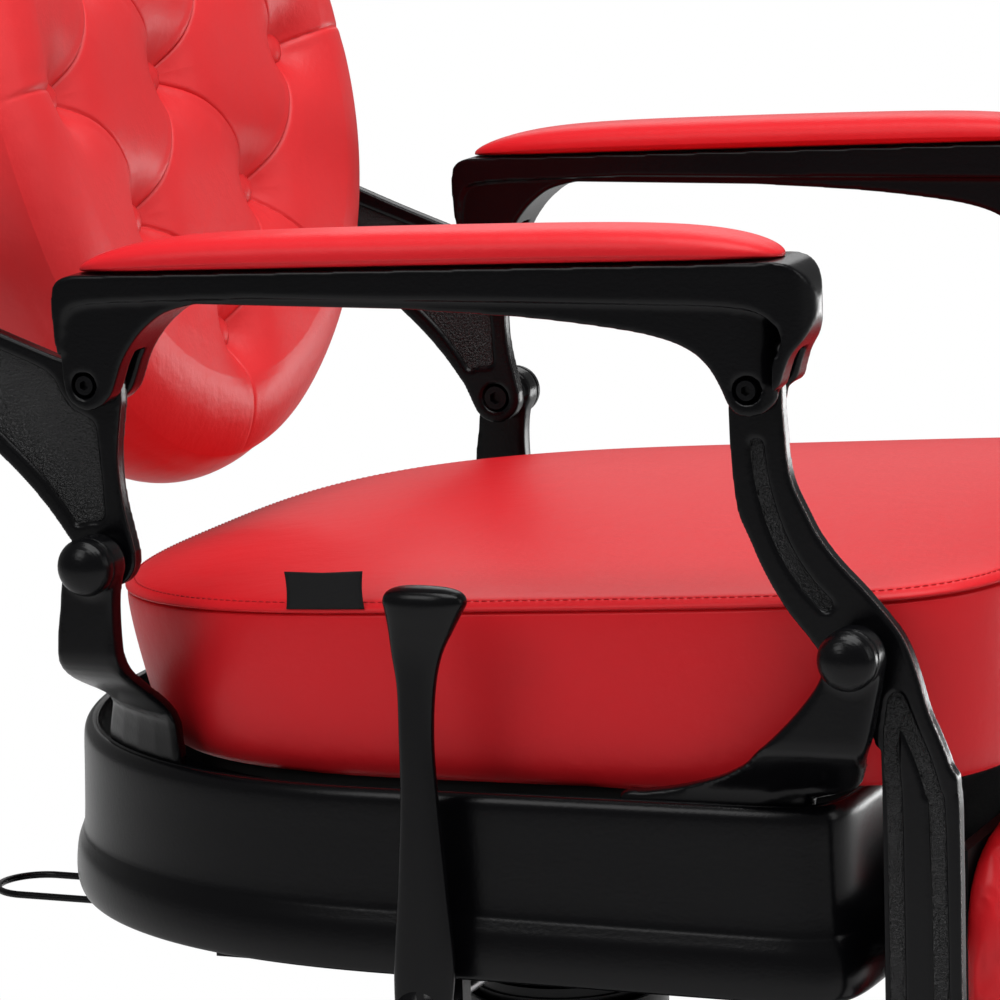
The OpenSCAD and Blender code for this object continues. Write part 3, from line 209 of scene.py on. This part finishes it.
def enamel(name, roughness=0.25, sunk=()):
    """Black enamel; each sunk range of distances from the middle plane shows cast grain."""
    made, tree, shader = finish(name, (0.0016, 0.0016, 0.0021), roughness, gloss=enamel_gloss)
    normal = relief(tree, speckle(tree, 420.0), 0.00025, 0.35)
    gloss = None
    for low, high in sunk:
        panel = between(tree, axis_of(tree, 0), low, high)
        coarse = speckle(tree, 560.0, 3.0, 0.6)
        normal = relief(tree, times(tree, panel, coarse), 0.0034, 1.0, normal)
        brighter = tree.nodes.new("ShaderNodeMath")
        brighter.operation = "MULTIPLY_ADD"
        wire(tree, panel, brighter.inputs[0])
        brighter.inputs[1].default_value = grain_gloss
        brighter.inputs[2].default_value = enamel_gloss
        if gloss is not None:
            wire(tree, gloss, brighter.inputs[2])
        gloss = brighter.outputs[0]
    if gloss is not None:
        wire(tree, gloss, shader.inputs["Specular IOR Level"])
    wire(tree, normal, shader.inputs["Normal"])
    return made


satin_black = enamel("satin_black")
grained_black = enamel("grained_black", sunk=((0.2960, 0.2975), (0.3025, 0.3040)))
grooved_black = enamel("grooved_black", sunk=((0.3018, 0.3044),))
base_black = enamel("base_black", 0.32)


def dress(material, *names):
    for name in names:
        held = nodes[name].data.materials
        held.clear()
        held.append(material)


def cast_skin(grain, passes, *names):
    """Round every edge and root as sand casting does."""
    for name in names:
        skin = nodes[name].modifiers.new("cast_skin", "REMESH")
        skin.mode = "VOXEL"
        skin.voxel_size = grain
        skin.use_smooth_shade = True
        worn = nodes[name].modifiers.new("eased", "SMOOTH")
        worn.factor = 0.5
        worn.iterations = passes


def ease_edges(width, *names):
    for name in names:
        flat = nodes[name].modifiers.new("flat_faces", "DECIMATE")
        flat.decimate_type = "DISSOLVE"
        flat.angle_limit = math.radians(1.5)
        edge = nodes[name].modifiers.new("eased_edges", "BEVEL")
        edge.width = width
        edge.segments = 3
        edge.limit_method = "ANGLE"
        edge.angle_limit = math.radians(32)
        edge.harden_normals = True


dress(satin_black, "arm_frame_left", "arm_frame_right", "rear_post_left", "rear_post_right",
      "front_post_left", "front_post_right", "pivot_caps", "arm_bolts_left", "arm_bolts_right",
      "pivot_bolts", "shaft_hanger", "legrest_crossbar", "footrest_tube", "footplate", "back_strap",
      "headrest_guide", "headrest_knob", "mount_plate", "mount_rails", "cross_bars", "swivel_hub",
      "loop_clamp", "rear_pull_loop")
dress(grained_black, "back_bracket_left", "back_bracket_right")
dress(grooved_black, "front_link_left", "front_link_right")
dress(base_black, "base_plate", "base_cover", "column_cover", "pump_housing", "pump_gland",
      "foot_pedal")
fine = 1.0
cast_skin(0.0013 * fine, 7, "arm_frame_left", "arm_frame_right")
cast_skin(0.0012 * fine, 3, "back_bracket_left", "back_bracket_right", "front_link_left",
          "front_link_right")
cast_skin(0.0015 * fine, 9, "rear_post_left", "rear_post_right", "front_post_left",
          "front_post_right")
ease_edges(0.0012, "mount_plate", "back_strap", "headrest_guide", "pedal_pad", "footplate_treads",
           "mount_rails")

# --- seat skirt and release lever -------------------------------------------------------
# The skirt is a deep pressed band with a rolled rim and a flared foot. The lever is forged:
# a flat neck that swells into a thumb-sized head.

datum = np.array((0, 0.150, 0.560))


def signed_power(v, e):
    return np.sign(v) * np.abs(v) ** e


def d_outline(half, rear, front, middle, rear_n, front_n, count):
    """A D-shaped outline of two half superellipses, with its points evenly spaced."""
    a = np.arange(2880) / 2880 * 2 * np.pi
    n = np.where(np.sin(a) >= 0, rear_n, front_n)
    x = half * signed_power(np.cos(a), 2 / n)
    y = np.where(np.sin(a) >= 0, rear, front) * signed_power(np.sin(a), 2 / n) + middle
    line = np.column_stack([np.append(x, x[0]), np.append(y, y[0])])
    run = np.concatenate([[0], np.cumsum(np.linalg.norm(np.diff(line, axis=0), axis=1))])
    at = np.arange(count) / count * run[-1]
    return np.column_stack([np.interp(at, run, line[:, k]) for k in (0, 1)])


def through(points, steps):
    """A smooth curve through rows of numbers, with the given steps between neighbours."""
    rows = np.array(points, float)
    out = []
    for i in range(len(rows) - 1):
        a, b, c, d = rows[max(i - 1, 0)], rows[i], rows[i + 1], rows[min(i + 2, len(rows) - 1)]
        for t in np.arange(steps) / steps:
            out.append(0.5 * (2 * b + (c - a) * t + (2 * a - 5 * b + 4 * c - d) * t ** 2
                              + (3 * b - a - 3 * c + d) * t ** 3))
    return np.array(out + [rows[-1]])


def loft(name, rings, material, ends="capped"):
    """A smooth skin over closed rings of points; its ends are capped or joined."""
    count = len(rings[0])
    verts = [tuple(p) for ring in rings for p in ring]
    faces = []
    pairs = [(j, j + 1) for j in range(len(rings) - 1)]
    if ends == "joined":
        pairs.append((len(rings) - 1, 0))
    for j, m in pairs:
        for i in range(count):
            k = (i + 1) % count
            faces.append((j * count + i, j * count + k, m * count + k, m * count + i))
    if ends == "capped":
        for j, turn in ((0, -1), (len(rings) - 1, 1)):
            verts.append(tuple(np.mean(rings[j], axis=0)))
            for i in range(count):
                k = (i + 1) % count
                faces.append((j * count + i, j * count + k, len(verts) - 1)[::turn])
    mesh = bpy.data.meshes.new(name)
    mesh.from_pydata(verts, [], faces)
    mesh.materials.append(material)
    mesh.polygons.foreach_set("use_smooth", [True] * len(mesh.polygons))
    piece = bpy.data.objects.new(name, mesh)
    scene.collection.objects.link(piece)
    return piece


def hold(piece, body, node):
    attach(piece, body)
    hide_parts(node)


skirt_half, skirt_rear, skirt_front, skirt_middle = 0.306, 0.298, 0.273, -0.165
foot, rim_middle, rim_fall, wall = -0.240, -0.132, 0.012, 0.009
skirt_profile = [  # inset from the outline, share of the way up to the rim, and height over that
    (-0.0020, 0, 0), (-0.0055, 0, 0.002), (-0.0075, 0, 0.009), (-0.0075, 0, 0.018),
    (-0.0062, 0, 0.028), (-0.0034, 0, 0.036), (-0.0018, 0, 0.043), (-0.0006, 0.5, 0.020),
    (0.0, 1, -0.012), (0.0008, 1, -0.005), (0.0030, 1, -0.0012), (0.0055, 1, 0),
    (0.0084, 1, -0.0014), (wall, 1, -0.0045), (wall, 0.5, 0), (wall, 0, 0)]
rings = []
for inset, share, over in through(skirt_profile, 4):
    plan = d_outline(skirt_half - inset, skirt_rear - inset, skirt_front - inset, skirt_middle,
                     2.3, 20, 480)
    rim = rim_middle - rim_fall * (plan[:, 1] - skirt_middle)
    rings.append(np.column_stack([plan, foot + share * (rim - foot) + over]) + datum)
skirt = loft("pressed_skirt", rings, satin_black, ends="joined")
hold(skirt, "seat", "seat_skirt")

lever_at = datum + np.array([-0.330, -0.193, -0.256])
lever_h, hub_r, hub_half = 0.250, 0.015, 0.006
lever_sections = [  # height, width, thickness and middle along the seat
    (0.0, 0.034, 0.012, -0.001), (0.12, 0.037, 0.012, -0.003), (0.30, 0.030, 0.0115, -0.0035),
    (0.50, 0.023, 0.011, -0.0035), (0.64, 0.021, 0.011, -0.003), (0.76, 0.023, 0.0115, -0.004),
    (0.84, 0.030, 0.013, -0.005), (0.90, 0.039, 0.0172, -0.008), (0.94, 0.046, 0.0209, -0.010),
    (0.965, 0.050, 0.022, -0.011), (0.985, 0.045, 0.0189, -0.011), (0.996, 0.031, 0.011, -0.0105),
    (1.0, 0.010, 0.0033, -0.010)]
rings = []
a = np.arange(72) / 72 * 2 * np.pi
for share, width, thick, middle in through(lever_sections, 7):
    x = thick / 2 * signed_power(np.cos(a), 0.8)
    y = middle + width / 2 * signed_power(np.sin(a), 0.8)
    rings.append(np.column_stack([x, y, np.full(72, share * lever_h)]) + lever_at)
lever = loft("forged_lever", rings, satin_black)
hub = [np.column_stack([np.full(72, x), hub_r * np.cos(a), hub_r * np.sin(a)]) + lever_at
       for x in (-hub_half, hub_half)]
lever_hub = loft("lever_hub", hub, satin_black)
for piece in (lever, lever_hub):
    hold(piece, "release", "recline_lever")

# --- bright metal, rubber and boards ---------------------------------------------------
# The ram and the headrest's post are chromed, the shafts and bolts are turned steel, the
# treads and the base's edge are black rubber, and the boards are plywood painted black.

chrome, tree, shader = finish("chrome_plate", (0.78, 0.79, 0.80), 0.09, 1.0)
turned, tree, shader = finish("turned_steel", (0.48, 0.48, 0.49), 0.28, 1.0)
wire(tree, relief(tree, speckle(tree, 900.0), 0.00005, 0.4), shader.inputs["Normal"])
rubber, tree, shader = finish("black_rubber", (0.012, 0.012, 0.012), 0.62, gloss=0.3)
wire(tree, relief(tree, speckle(tree, 700.0), 0.0002, 0.5), shader.inputs["Normal"])
board_black, tree, shader = finish("painted_board", (0.006, 0.006, 0.006), 0.6, gloss=0.3)
wire(tree, relief(tree, speckle(tree, 180.0), 0.0003, 0.4), shader.inputs["Normal"])
dress(chrome, "lift_ram", "headrest_post")
dress(turned, "column_bolts", "pedal_axle", "mount_bolts", "lock_cylinder", "release_shaft",
      "lock_rod", "strap_bolts")
dress(rubber, "base_trim", "pedal_pad", "footplate_treads")
dress(board_black, "seat_board", "calf_board", "back_board")

# --- red leatherette ------------------------------------------------------------------
# Coated knitted cloth with a fine pressed grain and a low sheen, cut in panels, sewn and
# pulled over moulded foam.


def leatherette(name, colour, roughness=0.40, creases=0.35, gloss=0.20):
    made, tree, shader = finish(name, colour, roughness, gloss=gloss)
    grain = tree.nodes.new("ShaderNodeTexVoronoi")
    grain.feature = "DISTANCE_TO_EDGE"
    grain.inputs["Scale"].default_value = 900.0
    wire(tree, object_place(tree), grain.inputs["Vector"])
    fine = relief(tree, grain.outputs["Distance"], 0.00012, 0.45)
    drawn = relief(tree, speckle(tree, 34.0, 4.0, 0.6), 0.0022, creases, fine)
    wire(tree, drawn, shader.inputs["Normal"])
    return made


red_hide = leatherette("red_leatherette", (0.62, 0.012, 0.018))
tufted_hide = leatherette("tufted_leatherette", (0.64, 0.022, 0.026), 0.46, 0.5, 0.34)
black_hide = leatherette("black_leatherette", (0.012, 0.012, 0.012), 0.5)
thread, tree, shader = finish("red_thread", (0.42, 0.008, 0.012), 0.7, gloss=0.3)
dress(black_hide, "back_cover")
dress(tufted_hide, "back_buttons")

# --- seat cushion ---------------------------------------------------------------------
# Moulded foam with a crowned top panel and a boxing strip that is drawn in to the board.
# The top panel's edge is turned under, topstitched, and laps the boxing as a narrow flap.

seat_half, seat_rear, seat_front, seat_middle = 0.28025, 0.284, 0.316, -0.200
tag_y, seam_at_tag, seam_rise = -0.118, -0.0347, 0.058


def seat_outline(inset, draw=0.0, half=seat_half, count=640):
    return d_outline(half - inset, seat_rear - inset - draw, seat_front - inset, seat_middle,
                     3.1, 6.0, count)


def seam_height(y):
    """The seam rises steadily from the rear to the front."""
    return seam_at_tag - seam_rise * (y - tag_y)


def under_height(y):
    """The underside sags onto the board and lifts over the skirt's front rim."""
    over = np.clip((-0.360 - y) / 0.050, 0, 1)
    lift = 0.0072 * over * over * (3 - 2 * over)
    return -0.1345 - 0.004 * np.clip((y - seat_middle) / 0.25, -0.3, 1) + lift


boxing = [  # share of the boxing's height, inset from the seam's outline, drawn in at the rear
    (0.0, 0.034, 0.020), (0.0, 0.022, 0.020), (0.008, 0.0150, 0.019), (0.03, 0.0105, 0.018),
    (0.07, 0.0080, 0.0165), (0.16, 0.0058, 0.014), (0.38, 0.0038, 0.009), (0.66, 0.0018, 0.004),
    (0.86, 0.0008, 0.0012), (0.955, 0.0009, 0.0003), (0.972, 0.0018, 0.0), (0.978, 0.0030, 0.0)]
top_panel = [  # height over the seam and distance in from it
    (-0.0012, 0.0030), (-0.0013, 0.0012), (-0.0008, 0.0002), (0.0002, 0.0000), (0.0016, 0.0009),
    (0.0030, 0.0028), (0.0038, 0.0046), (0.0039, 0.0056), (0.0045, 0.0066), (0.0052, 0.0092),
    (0.0057, 0.0135), (0.0062, 0.021), (0.0067, 0.034), (0.0070, 0.050), (0.0073, 0.072),
    (0.0075, 0.10), (0.0076, 0.13), (0.0077, 0.17), (0.0077, 0.21), (0.0077, 0.25)]
rings = []
for share, inset, draw in through(boxing, 4):
    flat = seat_outline(inset, draw)
    top, low = seam_height(flat[:, 1]), under_height(flat[:, 1])
    rings.append(np.column_stack([flat, low + share * (top - low)]))
for rise, inset in through(top_panel, 3):
    flat = seat_outline(inset)
    rings.append(np.column_stack([flat, seam_height(flat[:, 1]) + rise]))
seat = loft("seat_upholstery", [ring + datum for ring in rings], red_hide)
hold(seat, "seat", "seat_cushion")

stitch_gap, stitch_l, stitch_r = 0.0050, 0.0036, 0.00040


def stitches(name, line, outward, material):
    """A row of thread bars laid along a closed line of points."""
    closed, sides = (np.vstack([rows, rows[:1]]) for rows in (line, outward))
    run = np.concatenate([[0], np.cumsum(np.linalg.norm(np.diff(closed, axis=0), axis=1))])
    verts, faces = [], []
    for start in np.arange(int(run[-1] / stitch_gap)) * stitch_gap:
        tail, tip = (np.array([np.interp(s, run, closed[:, k]) for k in range(3)])
                     for s in (start, start + stitch_l))
        along = (tip - tail) / np.linalg.norm(tip - tail)
        side = np.array([np.interp(start, run, sides[:, k]) for k in range(3)])
        side = side - along * side.dot(along)
        side = side / np.linalg.norm(side)
        up = np.cross(along, side)
        first = len(verts)
        for t, lift in ((0, -0.8), (0.25, 0.6), (0.75, 0.6), (1, -0.8)):
            for w in np.radians(np.arange(0, 360, 60)):
                verts.append(tail + t * (tip - tail)
                             + stitch_r * (side * (math.cos(w) + lift) + up * math.sin(w)))
        for j in range(3):
            for b in range(6):
                c = (b + 1) % 6
                faces.append([first + 6 * j + k for k in (b, c, c + 6, b + 6)])
        faces.append([first + 5 - b for b in range(6)])
        faces.append([first + 18 + b for b in range(6)])
    mesh = bpy.data.meshes.new(name)
    mesh.from_pydata([tuple(v) for v in verts], [], faces)
    mesh.materials.append(material)
    piece = bpy.data.objects.new(name, mesh)
    scene.collection.objects.link(piece)
    return piece


stitch_in, stitch_up = 0.0052, 0.0040
flat = seat_outline(stitch_in)
line = np.column_stack([flat, seam_height(flat[:, 1]) + stitch_up]) + datum
run = np.roll(flat, -1, axis=0) - np.roll(flat, 1, axis=0)
outward = np.column_stack([run[:, 1], -run[:, 0], np.linalg.norm(run, axis=1) * 1.2])
seat_stitching = stitches("seat_stitching", line, outward, thread)
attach(seat_stitching, "seat")

# --- woven tag ------------------------------------------------------------------------
# A bare black ribbon, woven in fine ribs, held by the topstitching and standing up from it.

ribbon, tree, shader = finish("woven_ribbon", (0.0045, 0.0045, 0.005), 0.7, gloss=0.25)
ribs = tree.nodes.new("ShaderNodeTexWave")
ribs.wave_type, ribs.bands_direction = "BANDS", "Z"
ribs.inputs["Scale"].default_value = 420.0
wire(tree, object_place(tree), ribs.inputs["Vector"])
wire(tree, relief(tree, ribs.outputs["Fac"], 0.0002, 0.6), shader.inputs["Normal"])
tag_l, tag_h, tag_t = 0.054, 0.0225, 0.0006
flat = seat_outline(0, half=0.2803, count=4800)
near = flat[(flat[:, 0] < 0) & (np.abs(flat[:, 1] - tag_y) < tag_l / 2)]
near = near[np.argsort(near[:, 1])][::8]
foot_z = seam_height(tag_y) + 0.0012
rows = []
for up in np.linspace(0, 1, 17):
    pinch = 1 - 0.035 * math.sin(math.pi * up)
    across = (near[:, 1] - tag_y) / (tag_l / 2)
    y = tag_y + across * tag_l / 2 * pinch
    out = tag_t + 0.0022 * up - 0.0016 * up * np.abs(across) ** 3
    z = foot_z + tag_h * up - 0.0009 * up * (1 - across ** 2) - seam_rise * (y - tag_y)
    rows.append(np.column_stack([near[:, 0] - out, y, z]))
rings = [np.vstack([row, row[::-1] + (tag_t, 0, 0)]) + datum for row in rows]
tag = loft("ribbon_tag", rings[::-1], ribbon)
hold(tag, "seat", "side_tag")

# --- tufted back ----------------------------------------------------------------------
# A round foam pad, drawn down to its board by nine covered buttons in a diamond pattern.
# The hide is folded into pleats between the buttons and out to the rim.

lean = math.radians(14.4)
back_out = np.array([0, math.cos(lean), -math.sin(lean)])
back_up = np.array([0, math.sin(lean), math.cos(lean)])
back_set, back_mid, back_deep = 0.055, 0.254, 0.060
half_w, half_h = 0.257, 0.255
step_x, step_z = 0.082, 0.084
back_curl, pillow_h = 0.028, 0.024
tufts = [(0, 2), (-1, 1), (1, 1), (-2, 0), (0, 0), (2, 0), (-1, -1), (1, -1), (0, -2)]
pleat_bow, rim_bow = 0.010, 0.005
pleats = []  # from, to, bow to one side, and whether the pleat runs out to the rim
for i, j in tufts:
    for di in (-1, 1):
        if (i + di, j - 1) in tufts:
            pleats.append((i * step_x, j * step_z, (i + di) * step_x, (j - 1) * step_z,
                           pleat_bow, False))
for i, j in tufts:
    if (i, j) != (0, 0):
        way = np.array([i * step_x, j * step_z]) / math.hypot(i * step_x, j * step_z)
        way = way * 0.100 if abs(i) != 1 else way * 0.120
        pleats.append((i * step_x, j * step_z, i * step_x + way[0], j * step_z + way[1],
                       rim_bow if i + j > 0 else -rim_bow, True))


def in_back(x, d, z):
    x, d, z = np.broadcast_arrays(np.asarray(x, float), d, z)
    return (datum + (0, back_set, 0) + x[..., None] * (1.0, 0, 0)
            + d[..., None] * back_out + z[..., None] * back_up)


def tuft_height(x, z):
    """How far the hide stands ahead of the button plane."""
    near = np.full(np.shape(x), 1e9)
    for i, j in tufts:
        near = np.minimum(near, np.hypot(x - i * step_x, z - j * step_z))
    lift = 1 - np.exp(-(near / 0.0235) ** 1.6)
    valley = np.zeros(np.shape(x))
    for ax, az, bx, bz, bow, to_rim in pleats:
        length = math.hypot(bx - ax, bz - az)
        along = ((x - ax) * (bx - ax) + (z - az) * (bz - az)) / length
        side = ((x - ax) * (bz - az) - (z - az) * (bx - ax)) / length
        t = np.clip(along / length, 0, 1)
        over = np.maximum(np.maximum(-along, along - length), 0)
        side = side + bow * np.sin(t * math.pi)
        held = (1 - t) ** 0.6 if to_rim else 1 - 0.2 * np.sin(t * math.pi)
        off = np.hypot(side, over)
        crease = 0.0042 * np.exp(-(off / 0.0012))
        fold = 0.0010 * np.exp(-((side - 0.0035) / 0.0040) ** 2) * np.exp(-(over / 0.004) ** 2)
        sag = 0.0024 * np.exp(-(off / 0.011) ** 2)
        valley = np.maximum(valley, (crease + sag - fold) * held)
    return pillow_h * lift - valley * lift ** 0.35


rings = []
spokes = 1200
turn = np.arange(spokes) / spokes * 2 * np.pi
shell = [(0.060, 0.995), (0.026, 0.992), (0.015, 0.97), (0.007, 0.91), (0.0025, 0.83),
         (0.0003, 0.72), (-0.0003, 0.60), (0.0004, 0.48), (0.0022, 0.36), (0.005, 0.25)]
for inset, share in through(shell, 3):
    x, z = (half_w - inset) * np.cos(turn), (half_h - inset) * np.sin(turn)
    curl = -back_curl * (x / half_w) ** 2
    rings.append(in_back(x, curl * (1 - share) + share * back_deep, z + back_mid))
edge = [(0.966, 0.15), (0.95, 0.29), (0.93, 0.44), (0.908, 0.58), (0.885, 0.70), (0.86, 0.80),
        (0.835, 0.88), (0.81, 0.94), (0.785, 0.98)]
inner = [(rho, 1 - 0.02 * max(0.0, (rho - 0.70) / 0.085))
         for rho in np.linspace(0.780, 0.004, 260)]
for rho, share in list(through(edge, 5)) + inner:
    x, z = half_w * rho * np.cos(turn), half_h * rho * np.sin(turn)
    curl = -back_curl * (x / half_w) ** 2
    rings.append(in_back(x, curl - tuft_height(x, z) * share + (1 - share) * 0.008, z + back_mid))
back = loft("tufted_back", rings[::-1], tufted_hide)
hold(back, "back", "back_cushion")

# --- arm pads -------------------------------------------------------------------------
# Foam on a wooden core, covered in the same hide, pulled under and screwed to each arm.


arm_x, pad_half, pad_h, pad_l = 0.300, 0.0285, 0.0205, 0.427
pad_rear, pad_front = np.array([0.0155, 0.1645]), np.array([-0.411, 0.1800])


def arm_cushion(name, side):
    rings = []
    a = np.arange(72) / 72 * 2 * np.pi
    for f in (1 - np.cos(np.pi * np.arange(121) / 120)) / 2:
        full = max(0.0, 1 - abs(2 * f - 1) ** 9) ** 0.45
        w = pad_half * max(0.03, full)
        end = min(f, 1 - f) * pad_l
        slope = 1 - 0.70 * math.exp(-end / 0.036) - 0.12 * math.exp(-end / 0.006)
        h = pad_h * slope * (0.3 + 0.7 * full ** 0.5)
        c, s = signed_power(np.cos(a), 0.62), signed_power(np.sin(a), 0.78)
        x = side * (arm_x + w * c * np.where(np.sin(a) < -0.1, 0.95, 1))
        y, base = pad_rear + (pad_front - pad_rear) * f
        z = base + 0.0003 + h * (0.3 + np.where(s < 0, 0.3, 0.7) * s)
        rings.append(np.column_stack([x, np.full(72, y), z]) + datum)
    return loft(name, rings if side > 0 else [r[::-1] for r in rings], red_hide)


for side, word in ((1, "left"), (-1, "right")):
    pad = arm_cushion("arm_cushion_" + word, side)
    hold(pad, word + "_arm", "arm_pad_" + word)

# --- calf pad and headrest --------------------------------------------------------------
# Boxed foam pads with rounded corners. Each cover is one piece of hide, held at its board
# and filled out by the foam. The headrest tilts on a hinge lug between the post's ears.


def puff(piece, held, most, grain):
    """Blows a sewn cover up as cloth while the held points stay put, and keeps the shape."""
    skin = piece.modifiers.new("even_weave", "REMESH")
    skin.mode, skin.voxel_size = "VOXEL", grain
    worn = piece.evaluated_get(bpy.context.evaluated_depsgraph_get())
    mesh = bpy.data.meshes.new_from_object(worn)
    piece.modifiers.clear()
    material = piece.data.materials[0]
    piece.data = mesh
    mesh.materials.clear()
    mesh.materials.append(material)
    start = np.empty(len(mesh.vertices) * 3)
    mesh.vertices.foreach_get("co", start)
    start = start.reshape(-1, 3)
    pins = piece.vertex_groups.new(name="held")
    pins.add([int(k) for k in np.flatnonzero(held(start))], 1.0, "REPLACE")
    cover = piece.modifiers.new("cover", "CLOTH")
    cloth = cover.settings
    cloth.quality, cloth.mass, cloth.bending_stiffness = 5, 0.3, 0.5
    cloth.tension_stiffness = cloth.compression_stiffness = 15
    cloth.use_pressure, cloth.uniform_pressure_force = True, 4.0
    cloth.effector_weights.gravity = 0
    cloth.vertex_group_mass = "held"
    cover.collision_settings.use_collision = False
    for tick in range(1, 21):
        scene.frame_set(tick)
    blown = piece.evaluated_get(bpy.context.evaluated_depsgraph_get()).data
    moved = np.empty(start.size)
    blown.vertices.foreach_get("co", moved)
    step = moved.reshape(-1, 3) - start
    length = np.linalg.norm(step, axis=1, keepdims=True)
    piece.modifiers.remove(cover)
    step = step * np.tanh(length / most) * most / np.maximum(length, 1e-9)
    mesh.vertices.foreach_set("co", (start + step).ravel())
    mesh.polygons.foreach_set("use_smooth", [True] * len(mesh.polygons))
    mesh.update()
    scene.frame_set(1)
    finer = piece.modifiers.new("finer", "SUBSURF")
    finer.levels = finer.render_levels = 1


def boxed_pad(name, width, height, sections, place, count=160):
    a = np.arange(count) / count * 2 * np.pi
    rings = []
    for inset, depth in sections:
        x = (width / 2 - inset) * signed_power(np.cos(a), 0.45)
        z = (height / 2 - inset) * signed_power(np.sin(a), 0.45)
        rings.append(place(x, depth, z))
    return loft(name, rings, red_hide)


puff_most, cover_grain, held_depth = 0.008, 0.005, 0.006
calf_w, calf_h, calf_top, calf_y = 0.410, 0.182, -0.1642, -0.4763
calf_z = calf_top - calf_h / 2
calf = boxed_pad("calf_cushion", calf_w, calf_h,
                 [(0.020, 0.0), (0.008, 0.0005), (0.003, 0.003), (0.0005, 0.007), (-0.0008, 0.012),
                  (0.0004, 0.017), (0.0035, 0.0218), (0.009, 0.026), (0.017, 0.0292), (0.028, 0.0315),
                  (0.042, 0.0329), (0.058, 0.0336), (0.075, 0.034), (0.086, 0.034)],
                 lambda x, d, z: np.column_stack([x, np.full(len(x), calf_y - d), z + calf_z])
                 + datum)
calf_back = datum[1] + calf_y
puff(calf, lambda at: at[:, 1] > calf_back - held_depth, puff_most, cover_grain)
hold(calf, "legrest", "calf_pad")

post_d, head_reach, head_w, head_h, head_gap = 0.0985, 0.030, 0.270, 0.130, 0.022
head_mid = back_mid + half_h + head_gap + head_h / 2
head = boxed_pad("head_cushion", head_w, head_h,
                 [(0.030, 0.0), (0.016, 0.0), (0.007, 0.003), (0.002, 0.010), (0.0, 0.018),
                  (-0.001, 0.028), (0.0008, 0.037), (0.0045, 0.0455), (0.011, 0.0525), (0.019, 0.058),
                  (0.029, 0.062), (0.040, 0.0645), (0.052, 0.066), (0.060, 0.066)],
                 lambda x, d, z: in_back(x, post_d - head_reach - d, z + head_mid))
head_back = in_back(0.0, post_d - head_reach, 0.0)
puff(head, lambda at: (at - head_back) @ back_out > -held_depth, puff_most, cover_grain)
hold(head, "headrest", "headrest_pad")
lug_half_w, lug_half_h, hinge_z = 0.0088, 0.0068, head_mid - 0.020
a = np.arange(48) / 48 * 2 * np.pi
lug = [in_back(lug_half_w * signed_power(np.cos(a), 0.3), d,
               lug_half_h * signed_power(np.sin(a), 0.3) + hinge_z)
       for d in (post_d - head_reach - 0.0005, post_d + 0.0055)]
hinge_lug = loft("hinge_lug", lug, satin_black)
hold(hinge_lug, "headrest", "headrest_pad")
